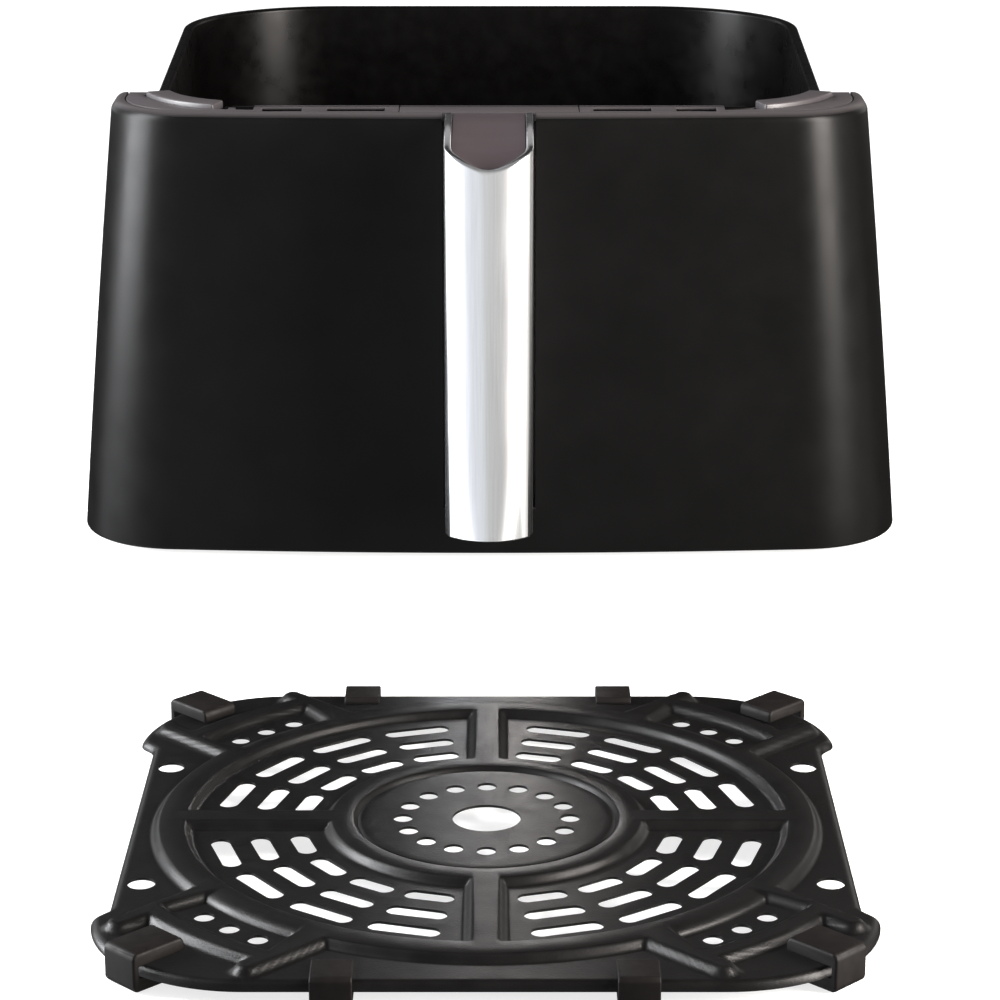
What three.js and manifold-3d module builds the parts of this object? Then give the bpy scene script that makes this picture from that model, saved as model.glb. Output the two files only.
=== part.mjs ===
// The pull-out drawer of a basket air fryer, with its lift-out crisper plate standing in front of it.
// Millimetres, +Z up, +Y from the handle towards the back of the drawer, +X to the right.
// The origin is on the counter, under the middle of the basket.

import * as THREE from "three";
import { mergeVertices } from "three/addons/utils/BufferGeometryUtils.js";
import Module from "manifold-3d";

const wasm = await Module();
wasm.setup();

// ---------------------------------------------------------------- driving dimensions
const GAP = 0.3; // between pieces that touch

const plate = {
  length: 222, // front to back, over the rolled edges
  width: 221.5, // over the four ears
  waist: 212.5, // between the ears
  waistLength: 122.5, // straight part of the waist
  earStep: 8, // length over which the waist widens into an ear
  corner: 45.75, // corner radius in plan
  sheet: 0.8,
  lip: 1.9, // how far the rolled edge hangs below the sheet
  rise: 2.6, // raised ribs above the flange
  top: 7, // flange above the feet
  centreHole: 10.25, // radius
  holeCircle: 25, // radius of the ring of holes
  holes: 16,
  hole: 3, // radius
  hubRib: [38.75, 47.5], // inner and outer radius of the raised ring round the middle
  hubStep: 1, // from the ring's top down to the middle
  crossRib: 5, // half width
  flange: 12.25, // from the outer rib to the front edge
  outerRib: 10, // width
  armSide: 22, // half width of a corner arm towards the side edge
  armEnd: 31.75, // half width of a corner arm towards the front or back edge
  armToBumper: 3.2, // from an arm's end to the corner bumper
  pocket: { from: 97.5, to: 111.25, start: 36, end: 57.6, holeStart: 40.95, holeStep: 6.05 },
  flangeHole: { radius: 4.1, inset: 7.6, along: 45 },
  liftAhead: 277, // from the drawer's front face to the middle of the plate
};

const slots = {
  rows: 3, // rows of slots in each quarter
  perRow: 4,
  edge: 8.9, // from a rib to the middle of the nearest row
  width: 6,
  span: 15.2, // degrees, end to end
  first: 16.6, // degrees, middle of the first slot of a row
  pitch: 18.95, // degrees
};

const bumper = {
  foot: 0, // height of the foot's underside
  proud: 2.5, // beyond the plate's edge
  edgeWidth: 11.5,
  edgeReach: 13.5, // over the plate, from the outer face
  edgeCap: 2.4, // above the flange
  edgeAlong: 41.25, // from the middle of the edge
  cornerWidth: 13,
  cornerReach: 18,
  cornerCap: 4.5,
  round: 1.2, // chamfer that stands for the clip's rounded edges
};

const pan = {
  height: 170.6,
  wall: 1,
  rim: 4, // width of the rolled rim
  rimDepth: 4, // height of the rolled rim
  rimChamfer: 0.4, // under the rim's outer edge
  frontCorner: 36, // inside corner radius at the rim, towards the handle
  rearCorner: 58, // inside corner radius at the rim, at the back
  flare: 6, // how much further out each side runs at the back than at the front corners
  draft: 6, // how much each side leans in from rim to floor
  floorRound: 7,
  plateRoom: 5.4, // from the plate's edge to the wall at floor level
  frontDrop: 6.1, // how much lower the wall is behind the front trim
};

const panel = {
  bottomWidth: 316,
  topWidth: 283.4,
  bottom: 2, // height of the lower edge
  wall: 3,
  lip: 5, // width of the upper edge
  lipHeight: 6,
  cornerBottom: 39,
  cornerTop: 33,
  bow: 1613, // radius of the front face in plan
  wrap: 48, // how far the sides reach back from the front face
  floor: 2.5, // thickness of the bottom ledge
};

const cover = { back: 15.5, wall: 2.5, topGap: 4.2, wing: 2.5 };
const trim = {
  thickness: 3.6,
  seam: 33,
  notch: 87, // where the full-width strip ends, from the middle
  slotFront: 7.5,
  slotRear: 15.6,
  ledge: 2.5, // how far the strip goes on behind the slots' front edge, beyond the notch
};
const trimSlots = [[38.4, 60], [69, 84]];
const tab = { inner: 36.5, outer: 46, start: 20, end: 70, rise: 1.7, room: 1.5 }; // room in degrees
const post = { at: 95, width: 2.7, length: 5 };

const handle = {
  width: 32,
  reach: 47, // in front of the panel
  frontSag: 7.4, // how much the front edge bows in plan
  corner: 8, // radius between the side and the front, in plan
  wall: 2.6,
  bottom: 21.4,
  root: 4, // how far the sleeve reaches behind the panel's face
  sideGap: 1.3, // between the sleeve and the panel
  coreSink: 0.5, // the insert's top below the sleeve's edge
  capThickness: 2.6,
};
// Height lost along the handle's top: [distance in front of the panel, drop below the panel's top].
const handleTop = [[-6, 0], [14, 0], [25, 1.1], [33, 3.2], [40, 5.9], [44, 8.8], [47, 12.8], [52, 20]];

const bracket = { width: 110, bottom: 30, top: 140, thickness: 1.5, gusset: 1.5, room: 1.26 };
const screw = { head: 3, headHeight: 2, dome: 1.8, shank: 1.4, clearance: 0.3, boss: 4.5, headRoom: 1 };
const handleScrews = { heights: [45, 95, 145], length: 22, hole: 24 };
const coverScrews = { along: 107, heights: [30, 135], length: 10 };
const bracketScrews = { along: 42, heights: [48, 86], length: 4.2 };

// ---------------------------------------------------------------- places that follow from the sizes
const insideFloor = {
  x: plate.width / 2 + pan.plateRoom,
  y: plate.length / 2 + pan.plateRoom,
};
const insideRim = { x: insideFloor.x + pan.draft, y: insideFloor.y + pan.draft };
const bowAt = (x) => x ** 2 / (2 * panel.bow); // how far the bowed front has fallen back at x
const bracketFront = cover.back + bowAt(bracket.width / 2) + GAP;
const bracketBack = bracketFront + bracket.thickness;
const toPan = bracketBack + bracket.room; // from the front face to the inside of the basket's rim
const frontY = -(insideRim.y + toPan); // the panel's front face
const topZ = pan.height; // the panel and the basket end at the same height
const plateY = frontY - plate.liftAhead;
const atDepth = (depth) => frontY + depth;
const degrees = Math.PI / 180;
const rimCorner = { x: insideRim.x - pan.frontCorner, y: -insideRim.y + pan.frontCorner };
const tabRearEnd = rimCorner.y - tab.inner * Math.sin(tab.start * degrees) + GAP;

// ---------------------------------------------------------------- finishes
const finish = (color, roughness, metalness) =>
  new THREE.MeshStandardMaterial({ color, roughness, metalness });
const finishes = {
  satinBlack: finish(0x1b1a1b, 0.42, 0.1),
  nonStick: finish(0x0d0c0d, 0.35, 0.3),
  grainyNonStick: finish(0x1c1b1b, 0.5, 0.35),
  greyTrim: finish(0x4a4345, 0.55, 0),
  steel: finish(0xc9cacc, 0.28, 1),
  blackInsert: finish(0x232122, 0.5, 0),
  zincedSteel: finish(0x9a9b9c, 0.4, 0.9),
  silicone: finish(0x1e1817, 0.8, 0),
};

// ---------------------------------------------------------------- solids
function solid(geometry) {
  const bare = geometry.clone();
  bare.deleteAttribute("normal");
  bare.deleteAttribute("uv");
  const merged = mergeVertices(bare, 1e-4);
  return new wasm.Manifold(
    new wasm.Mesh({
      numProp: 3,
      vertProperties: new Float32Array(merged.attributes.position.array),
      triVerts: new Uint32Array(merged.index.array),
    }),
  );
}

function geometryOf(body) {
  const mesh = body.getMesh();
  const places = new Float32Array(mesh.numVert * 3);
  for (let i = 0; i < mesh.numVert; i++) {
    places.set(mesh.vertProperties.subarray(i * mesh.numProp, i * mesh.numProp + 3), i * 3);
  }
  const geometry = new THREE.BufferGeometry()
    .setAttribute("position", new THREE.BufferAttribute(places, 3))
    .setIndex(new THREE.BufferAttribute(mesh.triVerts, 1));
  geometry.computeVertexNormals();
  return geometry;
}

const join = (bodies) => bodies.reduce((whole, body) => whole.add(body));
const cut = (body, tools) => tools.reduce((rest, tool) => rest.subtract(tool), body);

// A flat outline in X and Y, stretched from one height to another.
function slab(points, low, high) {
  const shape = new THREE.Shape(points.map(([x, y]) => new THREE.Vector2(x, y)));
  const geometry = new THREE.ExtrudeGeometry(shape, { depth: high - low, bevelEnabled: false });
  return solid(geometry.translate(0, 0, low));
}

// A side outline in Y and Z, stretched across X.
function sideSlab(points, left, right) {
  const shape = new THREE.Shape(points.map(([y, z]) => new THREE.Vector2(y, z)));
  const geometry = new THREE.ExtrudeGeometry(shape, { depth: right - left, bevelEnabled: false });
  const toSide = new THREE.Matrix4().makeBasis(
    new THREE.Vector3(0, 1, 0),
    new THREE.Vector3(0, 0, 1),
    new THREE.Vector3(1, 0, 0),
  );
  return solid(geometry.applyMatrix4(toSide).translate(left, 0, 0));
}

function block(x, y, z) {
  const geometry = new THREE.BoxGeometry(x[1] - x[0], y[1] - y[0], z[1] - z[0]);
  geometry.translate((x[0] + x[1]) / 2, (y[0] + y[1]) / 2, (z[0] + z[1]) / 2);
  return solid(geometry);
}

function uprightDisc(x, y, radius, low, high, sides = 12) {
  const geometry = new THREE.CylinderGeometry(radius, radius, high - low, sides);
  return solid(geometry.rotateX(Math.PI / 2).translate(x, y, (low + high) / 2));
}

// A cylinder along Y.
function lyingDisc(x, z, radius, front, back, sides = 12) {
  const geometry = new THREE.CylinderGeometry(radius, radius, back - front, sides);
  return solid(geometry.translate(x, (front + back) / 2, z));
}

// Outlines of equal length at rising heights, joined into one closed body.
function loft(levels) {
  const count = levels[0].outline.length;
  const flat = levels[0].outline.map(([x, y]) => new THREE.Vector2(x, y));
  const turned = THREE.ShapeUtils.isClockWise(flat);
  const places = [];
  for (const { outline, z } of levels) {
    for (const [x, y] of turned ? [...outline].reverse() : outline) places.push(x, y, z);
  }
  const faces = [];
  for (let level = 0; level < levels.length - 1; level++) {
    for (let i = 0; i < count; i++) {
      const a = level * count + i;
      const b = level * count + ((i + 1) % count);
      faces.push(a, b, b + count, a, b + count, a + count);
    }
  }
  const last = (levels.length - 1) * count;
  const capOf = (start) =>
    THREE.ShapeUtils.triangulateShape(
      Array.from({ length: count }, (_, i) => {
        const at = (start + i) * 3;
        return new THREE.Vector2(places[at], places[at + 1]);
      }),
      [],
    );
  for (const [a, b, c] of capOf(0)) faces.push(a, c, b);
  for (const [a, b, c] of capOf(last)) faces.push(last + a, last + b, last + c);
  const geometry = new THREE.BufferGeometry();
  geometry.setAttribute("position", new THREE.Float32BufferAttribute(places, 3));
  geometry.setIndex(faces);
  return solid(geometry);
}

// ---------------------------------------------------------------- outlines
function arc(x, y, radius, start, end, steps) {
  return Array.from({ length: steps + 1 }, (_, i) => {
    const turn = (start + ((end - start) * i) / steps) * degrees;
    return [x + radius * Math.cos(turn), y + radius * Math.sin(turn)];
  });
}

// A rectangle about the origin with its own corner radii in front and behind.
function roundedBox(halfX, halfY, front, rear, steps = 7) {
  const right = halfX - rear;
  const near = halfX - front;
  return [
    ...arc(right, halfY - rear, rear, 0, 90, steps),
    ...arc(-right, halfY - rear, rear, 90, 180, steps),
    ...arc(-near, front - halfY, front, 180, 270, steps),
    ...arc(near, front - halfY, front, 270, 360, steps),
  ];
}

// The panel's front in plan at one height, from the right rear round the front to the left rear.
function panelLine(z, inset, wrap = panel.wrap) {
  const along = (z - panel.bottom) / (topZ - panel.bottom);
  const half = THREE.MathUtils.lerp(panel.bottomWidth, panel.topWidth, along) / 2 - inset;
  const corner = THREE.MathUtils.lerp(panel.cornerBottom, panel.cornerTop, along) - inset;
  const bow = panel.bow - inset;
  const across = half - corner;
  const centreDepth = panel.bow - Math.sqrt((bow - corner) ** 2 - across ** 2);
  const meets = Math.atan2(across, panel.bow - centreDepth) / degrees;
  const steps = 8;
  const right = arc(across, atDepth(centreDepth), corner, 0, meets - 90, steps);
  const front = arc(0, atDepth(panel.bow), bow, meets - 90, -90 - meets, 6).slice(1, -1);
  const left = [...right].reverse().map(([x, y]) => [-x, y]);
  return [[half, atDepth(wrap)], ...right, ...front, ...left, [-half, atDepth(wrap)]];
}

// A band of wall that follows the panel, between two distances behind its front face.
function panelBand(z, outer, inner, wrap = panel.wrap) {
  return [...panelLine(z, outer, wrap), ...panelLine(z, inner, wrap).reverse()];
}

// ---------------------------------------------------------------- basket
function basketPan() {
  const flareOf = (y) => (pan.flare * Math.max(0, y - rimCorner.y)) / (insideRim.y - rimCorner.y);
  const widen = ([x, y]) => [x * (1 + flareOf(y) / insideRim.x), y];
  const level = (grow, z) => {
    const box = [insideRim.x + grow, insideRim.y + grow, pan.frontCorner + grow, pan.rearCorner + grow];
    return { outline: roundedBox(...box).map(widen), z };
  };
  const lean = (z) => -pan.draft * (1 - (z - pan.wall) / (pan.height - pan.wall));
  const roundSteps = 3;
  const floorTurn = (radius, wallSide, base) =>
    Array.from({ length: roundSteps + 1 }, (_, i) => {
      const turn = ((i / roundSteps) * Math.PI) / 2;
      const z = base + radius * (1 - Math.cos(turn));
      return [wallSide(base + radius) - radius * (1 - Math.sin(turn)), z];
    });
  const rimFoot = pan.height - pan.rimDepth;
  const outerWall = (z) => lean(z) + pan.wall;
  const rings = [
    ...floorTurn(pan.floorRound + pan.wall, outerWall, 0),
    [outerWall(rimFoot), rimFoot],
    [pan.rim, rimFoot + pan.rimChamfer],
    [pan.rim, pan.height],
    [0, pan.height],
    ...floorTurn(pan.floorRound, lean, pan.wall).reverse(),
  ];
  return loft(rings.map(([grow, z]) => level(grow, z)));
}

// The wall is lower behind the front trim and the corner tabs, which hang over it.
function frontDropTool() {
  const side = insideRim.x + pan.rim + 1;
  return block([-side, side], [atDepth(0), tabRearEnd], [pan.height - pan.frontDrop, pan.height + 1]);
}

// ---------------------------------------------------------------- front panel
const screwHole = (x, z, front, back) =>
  lyingDisc(x, z, screw.shank + screw.clearance, front, back);

function coverScrewPlaces() {
  return coverScrews.heights.flatMap((z) => [[-coverScrews.along, z], [coverScrews.along, z]]);
}

const coverFront = cover.back - cover.wall;
const coverTop = topZ - cover.topGap;

function frontPanel() {
  const lipFoot = topZ - panel.lipHeight;
  const wallTop = lipFoot - (panel.lip - panel.wall);
  const wall = [
    { outline: panelBand(panel.bottom, 0, panel.wall), z: panel.bottom },
    { outline: panelBand(wallTop, 0, panel.wall), z: wallTop },
    { outline: panelBand(lipFoot, 0, panel.lip), z: lipFoot },
    { outline: panelBand(topZ, 0, panel.lip), z: topZ },
  ];
  const ledgeTop = panel.bottom + panel.floor;
  const ledge = [panel.bottom, ledgeTop].map((z) => ({
    outline: panelBand(z, 0, coverFront - GAP),
    z,
  }));
  const bosses = coverScrewPlaces().map(([x, z]) => {
    const front = atDepth(panel.wall / 2 + bowAt(x));
    return lyingDisc(x, z, screw.boss, front, atDepth(coverFront - GAP + bowAt(x)));
  });
  const notchHalf = handle.width / 2 + handle.sideGap;
  const notch = block(
    [-notchHalf, notchHalf],
    [atDepth(-1), atDepth(coverFront)],
    [handle.bottom - handle.sideGap, topZ + 1],
  );
  const holes = coverScrewPlaces().map(([x, z]) => {
    const face = coverFront + bowAt(x);
    return screwHole(x, z, atDepth(face - coverScrews.length + cover.wall - GAP), atDepth(face));
  });
  return cut(join([loft(wall), loft(ledge), ...bosses]), [notch, ...holes]);
}

// The cover closes the panel from behind, with a wing on each side that meets the panel's wall.
function innerCover() {
  const top = coverTop;
  const bottom = panel.bottom + panel.floor + GAP;
  const wrap = panel.wrap - GAP;
  const body = [bottom, top].map((z) => ({ outline: panelBand(z, coverFront, cover.back, wrap), z }));
  const reach = panel.lip + GAP;
  const wing = (side) => {
    const at = (z, inset, depth) => [side * panelLine(z, inset)[0][0], atDepth(depth)];
    return loft(
      [bottom, top].map((z) => ({
        outline: [
          at(z, reach, wrap - cover.wing),
          at(z, cover.back, wrap - cover.wing),
          at(z, cover.back, wrap),
          at(z, reach, wrap),
        ],
        z,
      })),
    );
  };
  const holes = [
    ...coverScrewPlaces(),
    ...handleScrews.heights.map((z) => [0, z]),
    ...bracketScrewPlaces(),
  ].map(([x, z]) => screwHole(x, z, atDepth(coverFront - 1), atDepth(cover.back + bowAt(x) + 1)));
  return cut(join([loft(body), wing(-1), wing(1)]), holes);
}

// ---------------------------------------------------------------- trim along the top
const trimLow = topZ - trim.thickness;

// The side of the trim as an outline for the right-hand piece.
function sideTrimOutline() {
  const outer = panelLine(topZ, panel.lip + GAP, panel.wrap - GAP).filter(([x]) => x > trim.seam + GAP);
  const seamDepth = panel.bow - Math.sqrt((panel.bow - panel.lip - GAP) ** 2 - trim.seam ** 2);
  const rimSide = insideRim.x + pan.rim + GAP;
  const aroundTab = arc(rimCorner.x, rimCorner.y, tab.outer + GAP, -tab.end, tab.room - tab.start, 6);
  return [
    ...outer,
    [trim.seam + GAP, atDepth(seamDepth)],
    [trim.seam + GAP, atDepth(toPan - GAP)],
    [trim.notch, atDepth(toPan - GAP)],
    [trim.notch, atDepth(trim.slotFront + trim.ledge)],
    ...aroundTab,
    [rimSide, tabRearEnd],
    [rimSide, atDepth(panel.wrap - GAP)],
  ];
}

function sideTrim(side) {
  const mirrored = sideTrimOutline().map(([x, y]) => [side * x, y]);
  const openings = trimSlots.map(([from, to]) =>
    block(
      side > 0 ? [from, to] : [-to, -from],
      [atDepth(trim.slotFront), atDepth(trim.slotRear)],
      [trimLow - 1, topZ + 1],
    ),
  );
  const body = cut(slab(mirrored, trimLow, topZ), openings);
  if (side > 0) return body;
  const ledgeBack = trim.slotFront + trim.ledge;
  const stud = block(
    [-post.at - post.width / 2, -post.at + post.width / 2],
    [atDepth(ledgeBack - 1), atDepth(ledgeBack + post.length)],
    [trimLow, topZ],
  );
  return join([body, stud]);
}

function centreTrim() {
  const seamDepth = panel.lip + GAP + trim.seam ** 2 / (2 * panel.bow);
  return block([-trim.seam, trim.seam], [atDepth(seamDepth), atDepth(toPan - GAP)], [trimLow, topZ]);
}

function cornerTab(side) {
  const sector = [
    ...arc(rimCorner.x, rimCorner.y, tab.outer, -tab.start, -tab.end, 6),
    ...arc(rimCorner.x, rimCorner.y, tab.inner, -tab.end, -tab.start, 6),
  ].map(([x, y]) => [side * x, y]);
  const low = Math.max(pan.height - pan.frontDrop, coverTop) + GAP;
  return slab(sector, low, topZ + tab.rise);
}

// ---------------------------------------------------------------- handle
// The handle in plan, narrowed by an inset: straight sides and a bowed front.
function handlePlan(inset, back) {
  const half = handle.width / 2 - inset;
  const corner = handle.corner - inset;
  const tip = atDepth(-handle.reach) + inset;
  const across = half - corner;
  const bow = (half * half + handle.frontSag ** 2) / (2 * handle.frontSag);
  const centreY = tip + bow - Math.sqrt((bow - corner) ** 2 - across ** 2);
  const meets = Math.atan2(across, tip + bow - centreY) / degrees;
  const right = arc(across, centreY, corner, 0, meets - 90, 4);
  const front = arc(0, tip + bow, bow, meets - 90, -90 - meets, 4).slice(1, -1);
  const left = [...right].reverse().map(([x, y]) => [-x, y]);
  return [[half, back], ...right, ...front, ...left, [-half, back]];
}

// Everything above the handle's curved top, lowered by a sink.
function aboveHandle(sink) {
  const edge = handleTop.map(([ahead, drop]) => [atDepth(-ahead), topZ - drop - sink]);
  const clear = topZ + 5;
  return sideSlab([...edge, [edge.at(-1)[0], clear], [edge[0][0], clear]], -handle.width, handle.width);
}

function handleSleeve() {
  const back = atDepth(handle.root);
  const tube = cut(slab(handlePlan(0, back), handle.bottom, topZ), [
    slab(handlePlan(handle.wall, back + 1), handle.bottom - 1, topZ + 1),
  ]);
  return cut(tube, [aboveHandle(0)]);
}

function handleCore() {
  const inset = handle.wall + GAP;
  const low = handle.bottom + handle.capThickness + GAP;
  const main = slab(handlePlan(inset, atDepth(panel.lip)), low, topZ - handle.coreSink);
  const half = handle.width / 2 - inset;
  const root = block(
    [-half, half],
    [atDepth(panel.lip - 1), atDepth(coverFront - GAP)],
    [low, trimLow - GAP],
  );
  const holes = handleScrews.heights.map((z) =>
    screwHole(0, z, atDepth(coverFront - handleScrews.hole), atDepth(coverFront)),
  );
  return cut(join([main, root]), [aboveHandle(handle.coreSink), ...holes]);
}

function handleCap() {
  const inset = handle.wall + GAP;
  return slab(handlePlan(inset, atDepth(handle.root)), handle.bottom, handle.bottom + handle.capThickness);
}

// ---------------------------------------------------------------- bracket and screws
function bracketScrewPlaces() {
  return bracketScrews.heights.flatMap((z) => [[-bracketScrews.along, z], [bracketScrews.along, z]]);
}

// A flat steel plate behind the cover, with a gusset on each side that carries the basket's front wall.
function basketBracket() {
  const half = bracket.width / 2;
  const plateBody = block(
    [-half, half],
    [atDepth(bracketFront), atDepth(bracketBack)],
    [bracket.bottom, bracket.top],
  );
  const wallY = (z) => {
    const lean = pan.draft * (1 - (z - pan.wall) / (pan.height - pan.wall));
    return -insideRim.y + lean - pan.wall - GAP;
  };
  const gusset = (left) =>
    sideSlab(
      [
        [atDepth(bracketFront + bracket.thickness / 2), bracket.bottom],
        [wallY(bracket.bottom), bracket.bottom],
        [wallY(bracket.top), bracket.top],
        [atDepth(bracketFront + bracket.thickness / 2), bracket.top],
      ],
      left,
      left + bracket.gusset,
    );
  const throughHoles = bracketScrewPlaces().map(([x, z]) =>
    screwHole(x, z, atDepth(bracketFront - 1), atDepth(bracketBack + 1)),
  );
  const headRoom = screw.head + screw.headRoom;
  const headHoles = handleScrews.heights.map((z) =>
    lyingDisc(0, z, headRoom, atDepth(bracketFront - 1), atDepth(bracketBack + 1), 16),
  );
  return cut(join([plateBody, gusset(-half), gusset(half - bracket.gusset)]), [
    ...throughHoles,
    ...headHoles,
  ]);
}

// A pan-head screw whose head rests on a face at some depth, with its shank towards the handle.
function screwMesh(name, x, z, faceDepth, length) {
  const profile = [
    [0, -length],
    [screw.shank, -length],
    [screw.shank, 0],
    [screw.head, 0],
    [screw.head, screw.headHeight / 2],
    [screw.dome, screw.headHeight],
    [0, screw.headHeight],
  ].map(([radius, along]) => new THREE.Vector2(radius, along));
  const mesh = new THREE.Mesh(new THREE.LatheGeometry(profile, 10), finishes.zincedSteel);
  mesh.name = name;
  mesh.position.set(x, atDepth(faceDepth + GAP), z);
  return mesh;
}

function screws() {
  const group = new THREE.Group();
  handleScrews.heights.forEach((z, i) => {
    group.add(screwMesh(`handle_screw_${i + 1}`, 0, z, cover.back, handleScrews.length));
  });
  coverScrewPlaces().forEach(([x, z], i) => {
    const face = cover.back + bowAt(Math.abs(x) + screw.head);
    group.add(screwMesh(`cover_screw_${i + 1}`, x, z, face, coverScrews.length));
  });
  bracketScrewPlaces().forEach(([x, z], i) => {
    group.add(screwMesh(`bracket_screw_${i + 1}`, x, z, bracketBack, bracketScrews.length));
  });
  return group;
}

// ---------------------------------------------------------------- crisper plate
const plateHalf = { x: plate.width / 2, y: plate.length / 2 };
const cornerCentre = { x: plateHalf.x - plate.corner, y: plateHalf.y - plate.corner };
const cornerReach = Math.hypot(cornerCentre.x, cornerCentre.y) + plate.corner;
const outerRibOut = plateHalf.y - plate.flange;
const outerRibIn = outerRibOut - plate.outerRib;
const sheetLow = plate.top - plate.sheet;
const ribTop = plate.top + plate.rise;
const bumperInner = cornerReach + bumper.proud - bumper.cornerReach;
const armReach = bumperInner - plate.armToBumper;

// One quarter of the edge, from the side's middle towards the front's middle, moved in by an inset.
function plateOutline(inset) {
  const waistX = plate.waist / 2 - inset;
  const waistY = plate.waistLength / 2;
  const radius = plate.corner - inset;
  const stepTurn = Math.asin(Math.max(0, waistY + plate.earStep - cornerCentre.y) / plate.corner);
  const quarter = [
    [waistX, waistY],
    ...arc(cornerCentre.x, cornerCentre.y, radius, stepTurn / degrees, 90, 8),
  ];
  const right = [...[...quarter].reverse().map(([x, y]) => [x, -y]), ...quarter];
  return [...right, ...[...right].reverse().map(([x, y]) => [-x, y])];
}

const quarters = [[1, 1], [-1, 1], [-1, -1], [1, -1]];
const inQuarter = (points, [sx, sy]) => points.map(([x, y]) => [sx * x, sy * y]);

function ringBody(inner, outer, low, high) {
  const sides = 48;
  return uprightDisc(0, 0, outer, low, high, sides).subtract(
    uprightDisc(0, 0, inner, low - 1, high + 1, sides),
  );
}

// A corner arm: a band along the diagonal, ended by an arc about the plate's middle.
function armOutline(inset) {
  const side = plate.armSide - inset;
  const end = plate.armEnd - inset;
  const reach = armReach - inset;
  const start = outerRibOut - plate.outerRib / 2;
  const from = -Math.asin(side / reach) / degrees;
  const to = Math.asin(end / reach) / degrees;
  const alongDiagonal = [[start, -side], ...arc(0, 0, reach, from, to, 6), [start, end]];
  const half = Math.SQRT1_2;
  return alongDiagonal.map(([u, v]) => [(u - v) * half, (u + v) * half]);
}

function pocketOutline(grow) {
  const { from, to, start, end } = plate.pocket;
  const turn = grow / from / degrees;
  return [
    ...arc(0, 0, to + grow, start - turn, end + turn, 5),
    ...arc(0, 0, from - grow, end + turn, start - turn, 5),
  ];
}

// The raised ribs as one body, each moved in by an inset to make room for the hollow underneath.
function raised(inset, low, high) {
  const reach = outerRibOut - inset;
  const rib = plate.crossRib - inset;
  const middle = [
    ringBody(plate.hubRib[0] + inset, plate.hubRib[1] - inset, low, high),
    ringBody(outerRibIn + inset, outerRibOut - inset, low, high),
    uprightDisc(0, 0, plate.hubRib[0] + inset + plate.sheet, low, high - plate.hubStep, 48),
  ];
  const cross = join([
    block([-reach, reach], [-rib, rib], [low, high]),
    block([-rib, rib], [-reach, reach], [low, high]),
  ]).subtract(uprightDisc(0, 0, plate.hubRib[0] + inset, low - 1, high + 1, 48));
  const arms = quarters.map((quarter) => slab(inQuarter(armOutline(inset), quarter), low, high));
  const pockets = quarters.map((quarter) =>
    slab(inQuarter(pocketOutline(inset), quarter), low - 1, high + 1),
  );
  return cut(join([...middle, cross, ...arms]), pockets);
}

// A slot along an arc about the plate's middle, with pointed round ends.
function slotOutline(radius, middle) {
  const half = slots.width / 2;
  const turn = slots.span / 2 - half / radius / degrees;
  const endOf = (angle, side) => {
    const x = radius * Math.cos(angle * degrees);
    const y = radius * Math.sin(angle * degrees);
    return arc(x, y, half, angle + side * 45, angle + side * 135, 1);
  };
  const outer = arc(0, 0, radius + half, middle - turn, middle + turn, 3);
  const inner = arc(0, 0, radius - half, middle + turn, middle - turn, 3);
  return [...outer, ...endOf(middle + turn, 1), ...inner, ...endOf(middle - turn, -1).reverse()];
}

function plateOpenings() {
  const low = -1;
  const high = ribTop + 1;
  const openings = [uprightDisc(0, 0, plate.centreHole, low, high, 20)];
  for (let i = 0; i < plate.holes; i++) {
    const turn = (i * 2 * Math.PI) / plate.holes;
    const x = plate.holeCircle * Math.cos(turn);
    const y = plate.holeCircle * Math.sin(turn);
    openings.push(uprightDisc(x, y, plate.hole, low, high, 8));
  }
  const firstRow = plate.hubRib[1] + slots.edge;
  const rowPitch = (outerRibIn - slots.edge - firstRow) / (slots.rows - 1);
  const pocketMiddle = (plate.pocket.from + plate.pocket.to) / 2;
  for (const quarter of quarters) {
    for (let row = 0; row < slots.rows; row++) {
      for (let i = 0; i < slots.perRow; i++) {
        const outline = slotOutline(firstRow + row * rowPitch, slots.first + i * slots.pitch);
        openings.push(slab(inQuarter(outline, quarter), low, high));
      }
    }
    for (let i = 0; i < 3; i++) {
      const turn = (plate.pocket.holeStart + i * plate.pocket.holeStep) * degrees;
      const place = [[pocketMiddle * Math.cos(turn), pocketMiddle * Math.sin(turn)]];
      const [[x, y]] = inQuarter(place, quarter);
      openings.push(uprightDisc(x, y, plate.hole, low, high, 8));
    }
    const { radius, inset, along } = plate.flangeHole;
    const [[x, y]] = inQuarter([[plate.waist / 2 - inset, along]], quarter);
    openings.push(uprightDisc(x, y, radius, low, high, 10));
  }
  return openings;
}

function crisperPlate() {
  const sheet = slab(plateOutline(0), sheetLow, plate.top);
  const lipLow = sheetLow - plate.lip;
  const lip = slab(plateOutline(0), lipLow, plate.top).subtract(
    slab(plateOutline(plate.sheet), lipLow - 1, plate.top + 1),
  );
  const hollow = raised(plate.sheet, lipLow - 1, ribTop - plate.sheet);
  const whole = join([sheet, lip, raised(0, sheetLow, ribTop)]);
  return cut(whole, [hollow, ...plateOpenings()]);
}

// ---------------------------------------------------------------- bumpers
// A silicone clip in side view: a foot under the plate, a cap over it and a wall round its edge.
function clipOutline(edge, reach, cap) {
  const outer = edge + bumper.proud;
  const inner = outer - reach;
  const lipLow = sheetLow - plate.lip - GAP;
  const over = plate.top + GAP;
  const slotEnd = edge + GAP;
  const round = bumper.round;
  return [
    [inner, bumper.foot],
    [outer - round, bumper.foot],
    [outer, bumper.foot + round],
    [outer, plate.top + cap - round],
    [outer - round, plate.top + cap],
    [inner + round, plate.top + cap],
    [inner, plate.top + cap - round],
    [inner, over],
    [slotEnd, over],
    [slotEnd, lipLow],
    [inner, lipLow],
  ];
}

const namedMesh = (name, body, material) => {
  const mesh = new THREE.Mesh(geometryOf(body), material);
  mesh.name = name;
  return mesh;
};

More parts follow.
